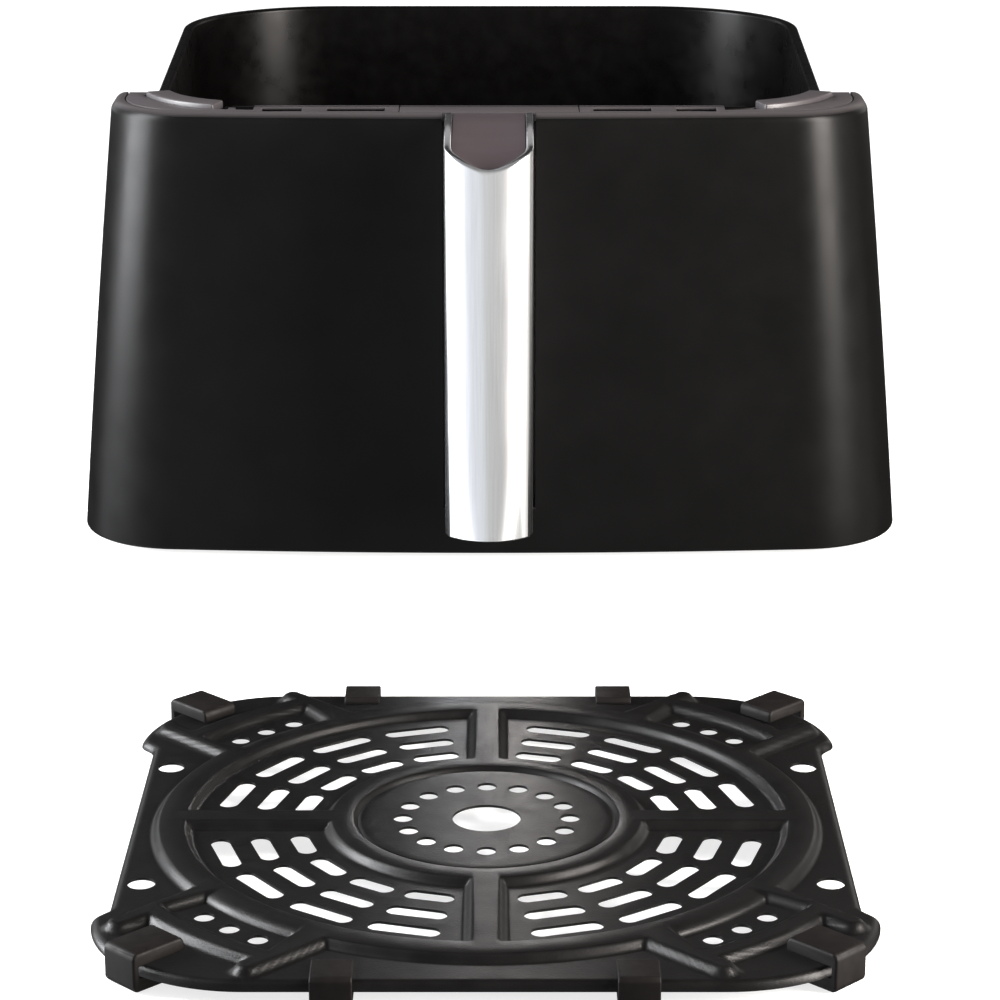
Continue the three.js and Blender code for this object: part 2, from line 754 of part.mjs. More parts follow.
function edgeBumper(name, front, side) {
  const outline = clipOutline(plateHalf.y, bumper.edgeReach, bumper.edgeCap);
  const half = bumper.edgeWidth / 2;
  const mesh = namedMesh(name, sideSlab(outline, -half, half), finishes.silicone);
  mesh.rotation.z = front ? Math.PI : 0;
  mesh.position.x = side * bumper.edgeAlong;
  return mesh;
}

function cornerBumper(name, turn) {
  const outline = clipOutline(cornerReach, bumper.cornerReach, bumper.cornerCap);
  const half = bumper.cornerWidth / 2;
  const mesh = namedMesh(name, sideSlab(outline, -half, half), finishes.silicone);
  mesh.rotation.z = turn * degrees;
  return mesh;
}

// ---------------------------------------------------------------- assembly
const root = new THREE.Group();

const drawer = new THREE.Group();
drawer.add(
  namedMesh("basket_pan", cut(basketPan(), [frontDropTool()]), finishes.nonStick),
  namedMesh("front_panel", frontPanel(), finishes.satinBlack),
  namedMesh("panel_inner_cover", innerCover(), finishes.greyTrim),
  namedMesh("top_trim_left", sideTrim(-1), finishes.greyTrim),
  namedMesh("top_trim_right", sideTrim(1), finishes.greyTrim),
  namedMesh("top_trim_centre", centreTrim(), finishes.greyTrim),
  namedMesh("corner_tab_left", cornerTab(-1), finishes.greyTrim),
  namedMesh("corner_tab_right", cornerTab(1), finishes.greyTrim),
  namedMesh("handle_sleeve", handleSleeve(), finishes.steel),
  namedMesh("handle_insert", handleCore(), finishes.blackInsert),
  namedMesh("handle_bottom_cap", handleCap(), finishes.blackInsert),
  namedMesh("basket_bracket", basketBracket(), finishes.zincedSteel),
  screws(),
);
root.add(drawer);

const plateGroup = new THREE.Group();
plateGroup.position.y = plateY;
plateGroup.add(namedMesh("crisper_plate", crisperPlate(), finishes.grainyNonStick));
const edges = [["rear", false], ["front", true]];
for (const [edge, front] of edges) {
  plateGroup.add(
    edgeBumper(`edge_bumper_${edge}_left`, front, -1),
    edgeBumper(`edge_bumper_${edge}_right`, front, 1),
  );
}
const corners = { rear_left: 45, front_left: 135, front_right: 225, rear_right: 315 };
for (const [corner, turn] of Object.entries(corners)) {
  plateGroup.add(cornerBumper(`corner_bumper_${corner}`, turn));
}
root.add(plateGroup);

export default root;
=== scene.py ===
"""The pull-out drawer of a basket air fryer and its loose crisper plate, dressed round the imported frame."""

import logging
import math
from dataclasses import dataclass, field
from enum import Enum
from typing import Any, Iterable, Sequence

import bmesh
import bpy
import numpy as np
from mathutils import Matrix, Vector


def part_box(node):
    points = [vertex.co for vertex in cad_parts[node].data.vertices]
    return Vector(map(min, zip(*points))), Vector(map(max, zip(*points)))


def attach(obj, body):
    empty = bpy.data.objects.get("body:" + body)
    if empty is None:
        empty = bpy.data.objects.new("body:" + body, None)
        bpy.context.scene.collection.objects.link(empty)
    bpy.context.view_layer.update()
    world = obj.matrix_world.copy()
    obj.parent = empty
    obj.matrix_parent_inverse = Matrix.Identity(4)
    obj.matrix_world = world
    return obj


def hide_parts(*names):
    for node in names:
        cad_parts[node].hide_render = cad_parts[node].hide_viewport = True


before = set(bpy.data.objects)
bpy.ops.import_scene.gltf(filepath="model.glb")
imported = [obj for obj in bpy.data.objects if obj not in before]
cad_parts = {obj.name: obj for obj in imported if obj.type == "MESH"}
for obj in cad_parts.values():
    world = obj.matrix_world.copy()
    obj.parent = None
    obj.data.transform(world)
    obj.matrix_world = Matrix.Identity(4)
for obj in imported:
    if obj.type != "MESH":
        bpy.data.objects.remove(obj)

MM = 0.001
QUARTER = [math.pi / 2 * i / 6 for i in range(7)]
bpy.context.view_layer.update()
Point = tuple[float, float, float]
log = logging.getLogger("drawer")


class Body(Enum):
    """The two bodies that pieces ride on."""

    DRAWER = "drawer"
    PLATE = "plate"


def plug(socket: bpy.types.NodeSocket, value: Any) -> None:
    """Links an input to a socket, or gives it its own value.

    Args:
        socket: The input.
        value: A socket or a plain value.
    """
    if isinstance(value, bpy.types.NodeSocket):
        socket.id_data.links.new(value, socket)
    else:
        socket.default_value = value


# ------------------------------------------------------------------ finishes


class ShaderTree:
    """A short way to write a material's node tree."""

    def __init__(self, name: str) -> None:
        """Starts an empty material.

        Args:
            name: The material's name.
        """
        self.material = bpy.data.materials.new(name + "_finish")
        self.material.use_nodes = True
        self.nodes = self.material.node_tree.nodes
        self.links = self.material.node_tree.links
        self.nodes.clear()
        output = self.nodes.new("ShaderNodeOutputMaterial")
        self.principled = self.nodes.new("ShaderNodeBsdfPrincipled")
        self.links.new(self.principled.outputs[0], output.inputs[0])
        self.place = self.nodes.new("ShaderNodeTexCoord").outputs["Object"]

    def add(self, kind: str, inputs: dict[str, Any], **settings: Any) -> bpy.types.Node:
        """Adds a node.

        Args:
            kind: The node's type, without the ShaderNode prefix.
            inputs: A value or a socket for each named input.
            **settings: Values for the node's own properties.

        Returns:
            The new node.
        """
        node = self.nodes.new("ShaderNode" + kind)
        for key, value in settings.items():
            setattr(node, key, value)
        for key, value in inputs.items():
            plug(node.inputs[key], value)
        return node

    def set(self, **values: Any) -> None:
        """Sets or links the principled shader's inputs, with underscores for the spaces in their names."""
        for key, value in values.items():
            plug(self.principled.inputs[key.replace("_", " ")], value)

    def noise(self, size: float, detail: float = 2.0, stretch: Point = (1, 1, 1)) -> bpy.types.NodeSocket:
        """Noise on object coordinates.

        Args:
            size: The size of a feature, in metres.
            detail: Octaves of finer noise.
            stretch: How many times denser the noise is along each axis.

        Returns:
            The noise's value socket.
        """
        mapping = self.add("Mapping", {"Vector": self.place, "Scale": stretch})
        noise = self.add(
            "TexNoise",
            {"Vector": mapping.outputs[0], "Scale": 1 / size, "Detail": detail},
        )
        return noise.outputs["Fac"]

    def spread(self, value: bpy.types.NodeSocket, low: float, high: float) -> bpy.types.NodeSocket:
        """Maps the middle of a noise to a range of numbers.

        Args:
            value: The noise.
            low: The number where the noise is low.
            high: The number where it is high.

        Returns:
            The mapped value.
        """
        node = self.add(
            "MapRange",
            {"Value": value, "From Min": 0.3, "From Max": 0.7, "To Min": low, "To Max": high},
        )
        return node.outputs[0]

    def tint(self, value: bpy.types.NodeSocket, low: Sequence[float], high: Sequence[float]) -> None:
        """Colours the surface between two colours, by a number from 0 to 1.

        Args:
            value: The number.
            low: The linear colour at 0.
            high: The linear colour at 1.
        """
        mix = self.add("Mix", {"Factor": value}, data_type="RGBA")
        mix.inputs["A"].default_value = (*low, 1)
        mix.inputs["B"].default_value = (*high, 1)
        self.set(Base_Color=mix.outputs["Result"])

    def bump(self, layers: Sequence[tuple[bpy.types.NodeSocket, float, float]]) -> None:
        """Stacks bumps on the surface.

        Args:
            layers: For each bump its height socket, its strength and its depth in metres.
        """
        normal = None
        for height, strength, depth in layers:
            inputs = {"Height": height, "Strength": strength, "Distance": depth}
            if normal is not None:
                inputs["Normal"] = normal
            normal = self.add("Bump", inputs).outputs[0]
        self.set(Normal=normal)


@dataclass(frozen=True)
class MouldedPlastic:
    """Moulded plastic with a spark-eroded grain and a painted highlight on faces that point up.

    Args:
        name: The material's name.
        colour: Its linear colour.
        roughness: Mean roughness.
        gloss: Specular level.
        grain: Depth of the grain, in metres.
        wear_and_top_highlight: Its colour where it faces up, a painted highlight standing in for the light
            the top catches.
    """

    name: str
    colour: Point
    roughness: float
    gloss: float
    grain: float
    wear_and_top_highlight: Point

    def build(self) -> bpy.types.Material:
        """Builds the material.

        Returns:
            The material.
        """
        tree = ShaderTree(self.name)
        # Painted highlight: faces that point up are tinted towards the lighter colour, standing in for the
        # light they catch from above.
        facing = tree.add("SeparateXYZ", {"Vector": tree.add("NewGeometry", {}).outputs["True Normal"]})
        upward = {"From Min": 0.55, "From Max": 0.95, "To Min": 0.0, "To Max": 0.85}
        painted_top_light = tree.add("MapRange", {"Value": facing.outputs[2], **upward}).outputs[0]
        mottle = tree.spread(tree.noise(0.03, 3), 0, 0.015)
        highlight_and_mottle = tree.add("Math", {0: painted_top_light, 1: mottle}, operation="ADD")
        tree.tint(highlight_and_mottle.outputs[0], self.colour, self.wear_and_top_highlight)
        blotch = tree.noise(0.012, 3)
        tree.set(Roughness=tree.spread(blotch, self.roughness - 0.03, self.roughness + 0.04))
        tree.set(Specular_IOR_Level=self.gloss)
        tree.bump([(tree.noise(0.00045, 2), 0.35, self.grain), (tree.noise(0.05, 1), 0.1, 0.0001)])
        return tree.material


@dataclass(frozen=True)
class NonStickCoat:
    """Sprayed non-stick coating with fine mica specks and a light orange peel.

    Args:
        name: The material's name.
        colour: Its linear colour.
        roughness: Mean roughness.
        gloss: Specular level.
        grain: Depth of the spray's grain, in metres.
        grain_size: Size of one grain, in metres.
    """

    name: str
    colour: Point
    roughness: float
    gloss: float
    grain: float
    grain_size: float

    def build(self) -> bpy.types.Material:
        """Builds the material.

        Returns:
            The material.
        """
        tree = ShaderTree(self.name)
        specks = tree.add("TexVoronoi", {"Vector": tree.place, "Scale": 1 / (self.grain_size * 1.6)})
        bright = tree.add(
            "MapRange",
            {"Value": specks.outputs["Distance"], "From Min": 0.12, "From Max": 0.03},
        )
        speck = tuple(c * 1.25 for c in self.colour)
        tree.tint(bright.outputs[0], self.colour, speck)
        tree.set(Roughness=tree.spread(tree.noise(0.008, 3), self.roughness - 0.05, self.roughness + 0.06))
        tree.set(Specular_IOR_Level=self.gloss)
        tree.bump(
            [
                (tree.noise(self.grain_size, 3), 0.8, self.grain),
                (tree.noise(self.grain_size * 7, 2), 0.25, self.grain * 1.5),
            ]
        )
        return tree.material


@dataclass(frozen=True)
class BrushedMetal:
    """Metal with fine lines along Z.

    Args:
        name: The material's name.
        colour: Its linear colour.
        roughness: Mean roughness.
        lines: Depth of the brushed lines, in metres.
    """

    name: str
    colour: Point
    roughness: float
    lines: float

    def build(self) -> bpy.types.Material:
        """Builds the material.

        Returns:
            The material.
        """
        tree = ShaderTree(self.name)
        dark = tuple(c * 0.93 for c in self.colour)
        streak = tree.noise(0.0006, 2, (1, 1, 0.02))
        tree.tint(tree.spread(streak, 0, 1), dark, self.colour)
        tree.set(Metallic=1.0)
        wear_and_top_highlight = tree.noise(0.01, 3, (1, 1, 0.2))
        tree.set(Roughness=tree.spread(wear_and_top_highlight, self.roughness - 0.02, self.roughness + 0.03))
        tree.bump([(streak, 0.15, self.lines)])
        return tree.material


@dataclass(frozen=True)
class Silicone:
    """Matte moulded silicone that gathers a little dirt.

    Args:
        name: The material's name.
        colour: Its linear colour.
    """

    name: str
    colour: Point

    def build(self) -> bpy.types.Material:
        """Builds the material.

        Returns:
            The material.
        """
        tree = ShaderTree(self.name)
        dusty = tuple(c * 1.8 for c in self.colour)
        tree.tint(tree.spread(tree.noise(0.004, 4), 0, 1), self.colour, dusty)
        tree.set(Roughness=tree.spread(tree.noise(0.003, 2), 0.5, 0.62), Specular_IOR_Level=0.07)
        tree.bump([(tree.noise(0.0004, 2), 0.4, 0.00005)])
        return tree.material


@dataclass(frozen=True)
class Paper:
    """The pale studio floor, lit softly from beneath like a light table.

    Args:
        name: The material's name.
        glow: How bright the floor is by itself.
    """

    name: str = "studio_paper"
    glow: float = 0.75

    def build(self) -> bpy.types.Material:
        """Builds the material.

        Returns:
            The material.
        """
        tree = ShaderTree(self.name)
        tree.set(Base_Color=(0.4, 0.4, 0.4, 1), Roughness=0.95, Specular_IOR_Level=0.0)
        tree.set(Emission_Color=(1, 1, 1, 1), Emission_Strength=self.glow)
        return tree.material


BUILT: dict[str, bpy.types.Material] = {}


class Finish(Enum):
    """Every finish on the object, by the record's slot name."""

    # Each moulded plastic's last colour is a painted highlight, its tint on faces that point up.
    PANEL = MouldedPlastic(
        "satin_black_panel", (0.0012, 0.0012, 0.0012), 0.33, 0.055, 0.000008, (0.03, 0.027, 0.028)
    )
    BASKET = NonStickCoat("basket_nonstick", (0.0006, 0.0005, 0.0005), 0.3, 0.07, 0.00001, 0.0007)
    PLATE = NonStickCoat("plate_nonstick", (0.0016, 0.0015, 0.0015), 0.38, 0.11, 0.00007, 0.0006)
    TRIM = MouldedPlastic("grey_trim", (0.02, 0.0175, 0.019), 0.45, 0.3, 0.00002, (0.024, 0.0205, 0.022))
    STEEL = BrushedMetal("handle_steel", (0.74, 0.745, 0.76), 0.2, 0.00001)
    INSERT = MouldedPlastic(
        "black_insert", (0.0035, 0.0032, 0.0034), 0.42, 0.2, 0.00002, (0.026, 0.02, 0.022)
    )
    ZINC = BrushedMetal("zinced_steel", (0.5, 0.51, 0.52), 0.35, 0.00001)
    SILICONE = Silicone("black_silicone", (0.0016, 0.0012, 0.0011))

    @property
    def slot(self) -> str:
        """The record's material slot."""
        return self.value.name

    def material(self) -> bpy.types.Material:
        """The finish's material, built once.

        Returns:
            The material.
        """
        if self.slot not in BUILT:
            BUILT[self.slot] = self.value.build()
        return BUILT[self.slot]


# ------------------------------------------------------------------ mesh work


def mesh_object(
    name: str, points: Sequence[Sequence[float]], faces: Sequence[Sequence[int]]
) -> bpy.types.Object:
    """Makes an object from points in millimetres.

    Args:
        name: The object's name.
        points: Corners, in millimetres.
        faces: Corner numbers of each face.

    Returns:
        The linked object, with its place in its mesh.
    """
    mesh = bpy.data.meshes.new(name)
    mesh.from_pydata([[c * MM for c in p] for p in points], [], faces)
    mesh.update()
    made = bpy.data.objects.new(name, mesh)
    bpy.context.scene.collection.objects.link(made)
    tidy_normals(made)
    return made


def tidy_normals(made: bpy.types.Object, merge: float = 1e-6) -> None:
    """Merges doubles and turns every face outwards.

    Args:
        made: The piece.
        merge: Points closer than this, in metres, become one.
    """
    work = bmesh.new()
    work.from_mesh(made.data)
    bmesh.ops.remove_doubles(work, verts=work.verts, dist=merge)
    bmesh.ops.recalc_face_normals(work, faces=work.faces)
    work.to_mesh(made.data)
    work.free()


def smooth(made: bpy.types.Object, angle: float = 35.0) -> None:
    """Shades a piece smooth, with edges sharper than an angle in degrees left crisp."""
    made.data.shade_smooth()
    made.data.set_sharp_from_angle(angle=math.radians(angle))


def bake_modifiers(made: bpy.types.Object) -> bpy.types.Object:
    """Turns a piece's modifiers into plain mesh and removes them.

    Args:
        made: The piece.

    Returns:
        The same piece.
    """
    graph = bpy.context.evaluated_depsgraph_get()
    baked = bpy.data.meshes.new_from_object(made.evaluated_get(graph))
    made.modifiers.clear()
    old = made.data
    made.data = baked
    bpy.data.meshes.remove(old)
    return made


def soften(made: bpy.types.Object, width: float, segments: int = 3, angle: float = 40.0) -> bpy.types.Object:
    """Rounds the sharp edges of a piece.

    Args:
        made: The piece.
        width: Width of the rounding, in millimetres.
        segments: Faces across the rounding.
        angle: Only edges sharper than this many degrees are rounded.

    Returns:
        The same piece.
    """
    bevel = made.modifiers.new("soft_edges", "BEVEL")
    bevel.width = width * MM
    bevel.segments = segments
    bevel.limit_method = "ANGLE"
    bevel.angle_limit = math.radians(angle)
    bevel.harden_normals = False
    return bake_modifiers(made)


def cut_away(made: bpy.types.Object, tool: bpy.types.Object) -> bpy.types.Object:
    """Cuts one closed piece out of another and throws the tool away.

    Args:
        made: The piece.
        tool: What is cut out of it.

    Returns:
        The cut piece.
    """
    boolean = made.modifiers.new("cut", "BOOLEAN")
    boolean.operation = "DIFFERENCE"
    boolean.solver = "EXACT"
    boolean.object = tool
    bake_modifiers(made)
    bpy.data.objects.remove(tool)
    return made


def box_object(name: str, low: Sequence[float], high: Sequence[float]) -> bpy.types.Object:
    """A box between two corners, in millimetres, used as a cutting tool.

    Args:
        name: The object's name.
        low: The lowest corner.
        high: The highest corner.

    Returns:
        The box.
    """
    corners = [(x, y, z) for x in (low[0], high[0]) for y in (low[1], high[1]) for z in (low[2], high[2])]
    faces = [(0, 1, 3, 2), (4, 6, 7, 5), (0, 4, 5, 1), (2, 3, 7, 6), (0, 2, 6, 4), (1, 5, 7, 3)]
    return mesh_object(name, corners, faces)


def ring_band(rings: Sequence[Sequence[Point]], closed: bool) -> tuple[list[Point], list[tuple[int, ...]]]:
    """Joins rings of equal length with four-sided faces.

    Args:
        rings: The rings, in order.
        closed: Whether each ring closes on itself.

    Returns:
        Points and faces.
    """
    count = len(rings[0])
    last = count if closed else count - 1
    points = [p for ring in rings for p in ring]
    faces = []
    for level in range(len(rings) - 1):
        for i in range(last):
            a, b = level * count + i, level * count + (i + 1) % count
            faces.append((a, b, b + count, a + count))
    return points, faces


def sweep(name: str, sections: Sequence[Sequence[Point]]) -> bpy.types.Object:
    """Joins closed cross-sections along an open path, with both ends capped.

    Args:
        name: The object's name.
        sections: The cross-sections, each a closed ring of points in millimetres.

    Returns:
        The closed body.
    """
    points, faces = ring_band(sections, closed=True)
    count = len(sections[0])
    start = (len(sections) - 1) * count
    faces.append(tuple(range(count)))
    faces.append(tuple(range(start, start + count)))
    return mesh_object(name, points, faces)


def arc(x: float, y: float, radius: float, start: float, end: float, steps: int) -> list[tuple[float, float]]:
    """Points along an arc, with angles in degrees."""
    turns = [math.radians(start + (end - start) * i / steps) for i in range(steps + 1)]
    return [(x + radius * math.cos(t), y + radius * math.sin(t)) for t in turns]


def node_box(*names: str) -> tuple[Vector, Vector]:
    """The box round some CAD nodes, in millimetres.

    Args:
        *names: The nodes.

    Returns:
        The lowest and highest corners.
    """
    boxes = [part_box(name) for name in names]
    low = Vector([min(box[0][axis] for box in boxes) for axis in range(3)])
    high = Vector([max(box[1][axis] for box in boxes) for axis in range(3)])
    return low / MM, high / MM


def copy_of(node: str, name: str) -> bpy.types.Object:
    """A merged copy of a CAD node's mesh, with its flat faces joined up.

    Args:
        node: The CAD node.
        name: The copy's name.

    Returns:
        The new object.
    """
    made = bpy.data.objects.new(name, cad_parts[node].data.copy())
    made.data.materials.clear()
    bpy.context.scene.collection.objects.link(made)
    work = bmesh.new()
    work.from_mesh(made.data)
    bmesh.ops.remove_doubles(work, verts=work.verts, dist=2e-6)
    bmesh.ops.dissolve_limit(work, angle_limit=math.radians(1), verts=work.verts, edges=work.edges)
    work.to_mesh(made.data)
    work.free()
    return made


def finish_piece(
    made: bpy.types.Object, finish: Finish, body: Body, nodes: Iterable[str]
) -> bpy.types.Object:
    """Dresses a finished piece and ties it to the frame.

    Args:
        made: The piece, with its place in its mesh.
        finish: Its finish.
        body: The body it rides on.
        nodes: The CAD nodes it stands for.

    Returns:
        The same piece.
    """
    made.data.materials.clear()
    made.data.materials.append(finish.material())
    made.visible_glossy = body is not Body.PLATE
    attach(made, body.value)
    replaced = list(nodes)
    if replaced:
        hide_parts(*replaced)
    log.info("%s: %d faces on %s", made.name, len(made.data.polygons), body.value)
    return made


# ------------------------------------------------------------------ geometry nodes


class GeometryTree:
    """A short way to write a Geometry Nodes tree with named inputs."""

    def __init__(self, name: str) -> None:
        """Starts a tree that takes and gives one geometry.

        Args:
            name: The tree's name.
        """
        self.group = bpy.data.node_groups.new(name, "GeometryNodeTree")
        self.group.interface.new_socket("Geometry", in_out="INPUT", socket_type="NodeSocketGeometry")
        self.group.interface.new_socket("Geometry", in_out="OUTPUT", socket_type="NodeSocketGeometry")
        self.entry = self.group.nodes.new("NodeGroupInput")
        self.exit = self.group.nodes.new("NodeGroupOutput")
        self.values: dict[str, Any] = {}

    def size(self, name: str, value: Any) -> bpy.types.NodeSocket:
        """Adds a named input and remembers the value that the modifier gets.

        Args:
            name: The input's name.
            value: Its value: a whole number, a number or a material.

        Returns:
            The input's socket inside the tree.
        """
        kinds = {int: "NodeSocketInt", float: "NodeSocketFloat"}
        kind = kinds.get(type(value), "NodeSocketMaterial")
        self.group.interface.new_socket(name, in_out="INPUT", socket_type=kind)
        self.values[name] = value
        return self.entry.outputs[name]

    def add(self, kind: str, *inputs: Any, **settings: Any) -> bpy.types.Node:
        """Adds a node and fills its enabled inputs in order.

        Args:
            kind: The node's type, such as ShaderNodeMath.
            *inputs: A value or a socket for each enabled input; None leaves one as it is.
            **settings: Values for the node's own properties.

        Returns:
            The new node.
        """
        node = self.group.nodes.new(kind)
        for key, value in settings.items():
            setattr(node, key, value)
        open_sockets = [socket for socket in node.inputs if socket.enabled]
        for socket, value in zip(open_sockets, inputs):
            if value is not None:
                plug(socket, value)
        return node

    def math(self, operation: str, *inputs: Any) -> bpy.types.NodeSocket:
        """Adds a Math node and gives its result."""
        return self.add("ShaderNodeMath", *inputs, operation=operation).outputs[0]

    def vector(self, x: Any, y: Any, z: Any) -> bpy.types.NodeSocket:
        """Joins three numbers to a vector."""
        return self.add("ShaderNodeCombineXYZ", x, y, z).outputs[0]

    def solid(self, kind: str, values: dict[str, Any]) -> bpy.types.NodeSocket:
        """Adds a mesh primitive.

        Args:
            kind: Its kind, such as Cylinder.
            values: A value or a socket for each named input.

        Returns:
            The primitive's mesh.
        """
        node = self.add("GeometryNodeMesh" + kind)
        for key, value in values.items():
            plug(node.inputs[key], value)
        return node.outputs[0]

    def index(self) -> bpy.types.NodeSocket:
        """The number of each element."""
        return self.add("GeometryNodeInputIndex").outputs[0]

    def points(self, count: Any) -> bpy.types.NodeSocket:
        """A number of loose points, all at the origin.

        Args:
            count: How many.

        Returns:
            The points.
        """
        line = self.add("GeometryNodeMeshLine", mode="OFFSET")
        plug(line.inputs["Count"], count)
        line.inputs["Offset"].default_value = (0, 0, 0)
        return line.outputs[0]

    def join(self, *parts: bpy.types.NodeSocket) -> bpy.types.NodeSocket:
        """Joins geometries.

        Args:
            *parts: The geometries.

        Returns:
            The joined geometry.
        """
        node = self.group.nodes.new("GeometryNodeJoinGeometry")
        for part in parts:
            self.group.links.new(part, node.inputs[0])
        return node.outputs[0]

    def close(self, geometry: bpy.types.NodeSocket, material: bpy.types.Material) -> None:
        """Ends the tree in Realize Instances and Set Material.

        Args:
            geometry: What the tree gives.
            material: Its material.
        """
        realized = self.add("GeometryNodeRealizeInstances", geometry).outputs[0]
        slot = self.size("Material", material)
        dressed = self.add("GeometryNodeSetMaterial", realized, None, slot).outputs[0]
        self.group.links.new(dressed, self.exit.inputs[0])

    def apply_to(self, made: bpy.types.Object) -> bpy.types.Object:
        """Runs the tree on a piece and turns the result into plain mesh.

        Args:
            made: The piece.

        Returns:
            The same piece with its new mesh.
        """
        modifier = made.modifiers.new(self.group.name, "NODES")
        modifier.node_group = self.group
        for item in self.group.interface.items_tree:
            if item.in_out == "INPUT" and item.name in self.values:
                modifier[item.identifier] = self.values[item.name]
        return bake_modifiers(made)


# ------------------------------------------------------------------ front panel


@dataclass
class FrontPanel:
    """The drawer's tapered front: a moulded shell, its rear cover, and the grey trim along its top."""

    corner_foot: float = 39.0
    corner_top: float = 33.0
    bow: float = 1613.0
    side_bow: float = 0.5
    wall: float = 3.0
    lip: float = 5.0
    lip_height: float = 6.0
    top_round: float = 4.0
    foot_round: float = 1.6
    ledge: float = 2.5
    ledge_reach: float = 12.7
    notch_gap: float = 1.3
    arc_steps: int = 22
    bow_steps: int = 40
    low: Vector = field(default_factory=lambda: node_box("front_panel")[0])
    high: Vector = field(default_factory=lambda: node_box("front_panel")[1])

    def half_width(self, z: float) -> float:
        """Half the panel's width at a height, narrower towards the top.

        Args:
            z: The height.

        Returns:
            Half the width.
        """
        along = (z - self.low.z) / (self.high.z - self.low.z)
        top_half = node_box("top_trim_left", "top_trim_right")[1].x + self.lip + 0.3
        straight = self.high.x + (top_half - self.high.x) * along
        return straight + self.side_bow * math.sin(math.pi * min(1.0, max(0.0, along)))

    def line(self, z: float, inset: float) -> list[tuple[float, float]]:
        """The panel in plan at one height, from the right rear round the front to the left rear.

        Args:
            z: The height.
            inset: The distance behind the outer face.

        Returns:
            Points in X and Y.
        """
        along = (z - self.low.z) / (self.high.z - self.low.z)
        half = self.half_width(z) - inset
        corner = self.corner_foot + (self.corner_top - self.corner_foot) * along - inset
        bow = self.bow - inset
        across = half - corner
        depth = self.bow - math.sqrt((bow - corner) ** 2 - across**2)
        meets = math.degrees(math.atan2(across, self.bow - depth))
        front = self.low.y
        right = arc(across, front + depth, corner, 0, meets - 90, self.arc_steps)
        middle = arc(0, front + self.bow, bow, meets - 90, -90 - meets, self.bow_steps)[1:-1]
        left = [(-x, y) for x, y in reversed(right)]
        return [(half, self.high.y), *right, *middle, *left, (-half, self.high.y)]

    def section(self) -> list[tuple[float, float]]:
        """The wall's closed cross-section as pairs of inset and height, from the foot up the outside.

        Returns:
            Pairs of inset and height.
        """
        top, foot, steps = self.high.z, self.low.z, 6
        outer = [
            (self.foot_round * (1 - math.cos(t)), foot + self.foot_round * (1 - math.sin(t)))
            for t in (math.pi / 2 * i / steps for i in range(steps, -1, -1))
        ]
        rise = [(0.0, foot + (top - foot) * k) for k in (0.1, 0.3, 0.5, 0.7, 0.9)]
        crown = [
            (self.top_round * (1 - math.cos(t)), top - self.top_round * (1 - math.sin(t)))
            for t in (math.pi / 2 * i / 10 for i in range(11))
        ]
        lip_foot = top - self.lip_height
        inner = [
            (self.lip - 0.3, top),
            (self.lip, top - 0.3),
            (self.lip, lip_foot),
            (self.wall, lip_foot - 2),
            (self.wall, foot + self.ledge),
            (self.ledge_reach, foot + self.ledge),
            (self.ledge_reach, foot),
        ]
        return [*outer, *rise, *crown, *inner]

    def shell(self) -> bpy.types.Object:
        """The outer shell with its channel for the handle.

        Returns:
            The shell.
        """
        pairs = self.section()
        lines = [self.line(z, inset) for inset, z in pairs]
        stations = range(len(lines[0]))
        sections = [[(*lines[k][i], pairs[k][1]) for k in range(len(pairs))] for i in stations]
        made = sweep("front_panel_shell", sections)
        sleeve_low, sleeve_high = node_box("handle_sleeve")
        half = sleeve_high.x + self.notch_gap
        tool = box_object(
            "channel_tool",
            (-half, self.low.y - 1, sleeve_low.z - self.notch_gap),
            (half, self.low.y + self.ledge_reach - 0.5, self.high.z + 1),
        )
        cut_away(made, tool)
        smooth(made, 32)
        return finish_piece(made, Finish.PANEL, Body.DRAWER, ["front_panel"])

    def dressed(self, node: str, width: float, segments: int = 2) -> bpy.types.Object:
        """A CAD node of the panel with softened edges.

        Args:
            node: The CAD node.
            width: Width of the rounding, in millimetres.
            segments: Faces across the rounding.

        Returns:
            The piece.
        """
        made = soften(copy_of(node, node + "_moulding"), width, segments)
        smooth(made)
        return finish_piece(made, Finish.TRIM, Body.DRAWER, [node])

    def build(self) -> None:
        """Builds the panel, its cover and its trim."""
        self.shell()
        self.dressed("panel_inner_cover", 0.5)
        for side in ("left", "right"):
            self.dressed(f"top_trim_{side}", 0.45)
            self.dressed(f"corner_tab_{side}", 0.8, 3)
        self.dressed("top_trim_centre", 0.35)


# ------------------------------------------------------------------ basket


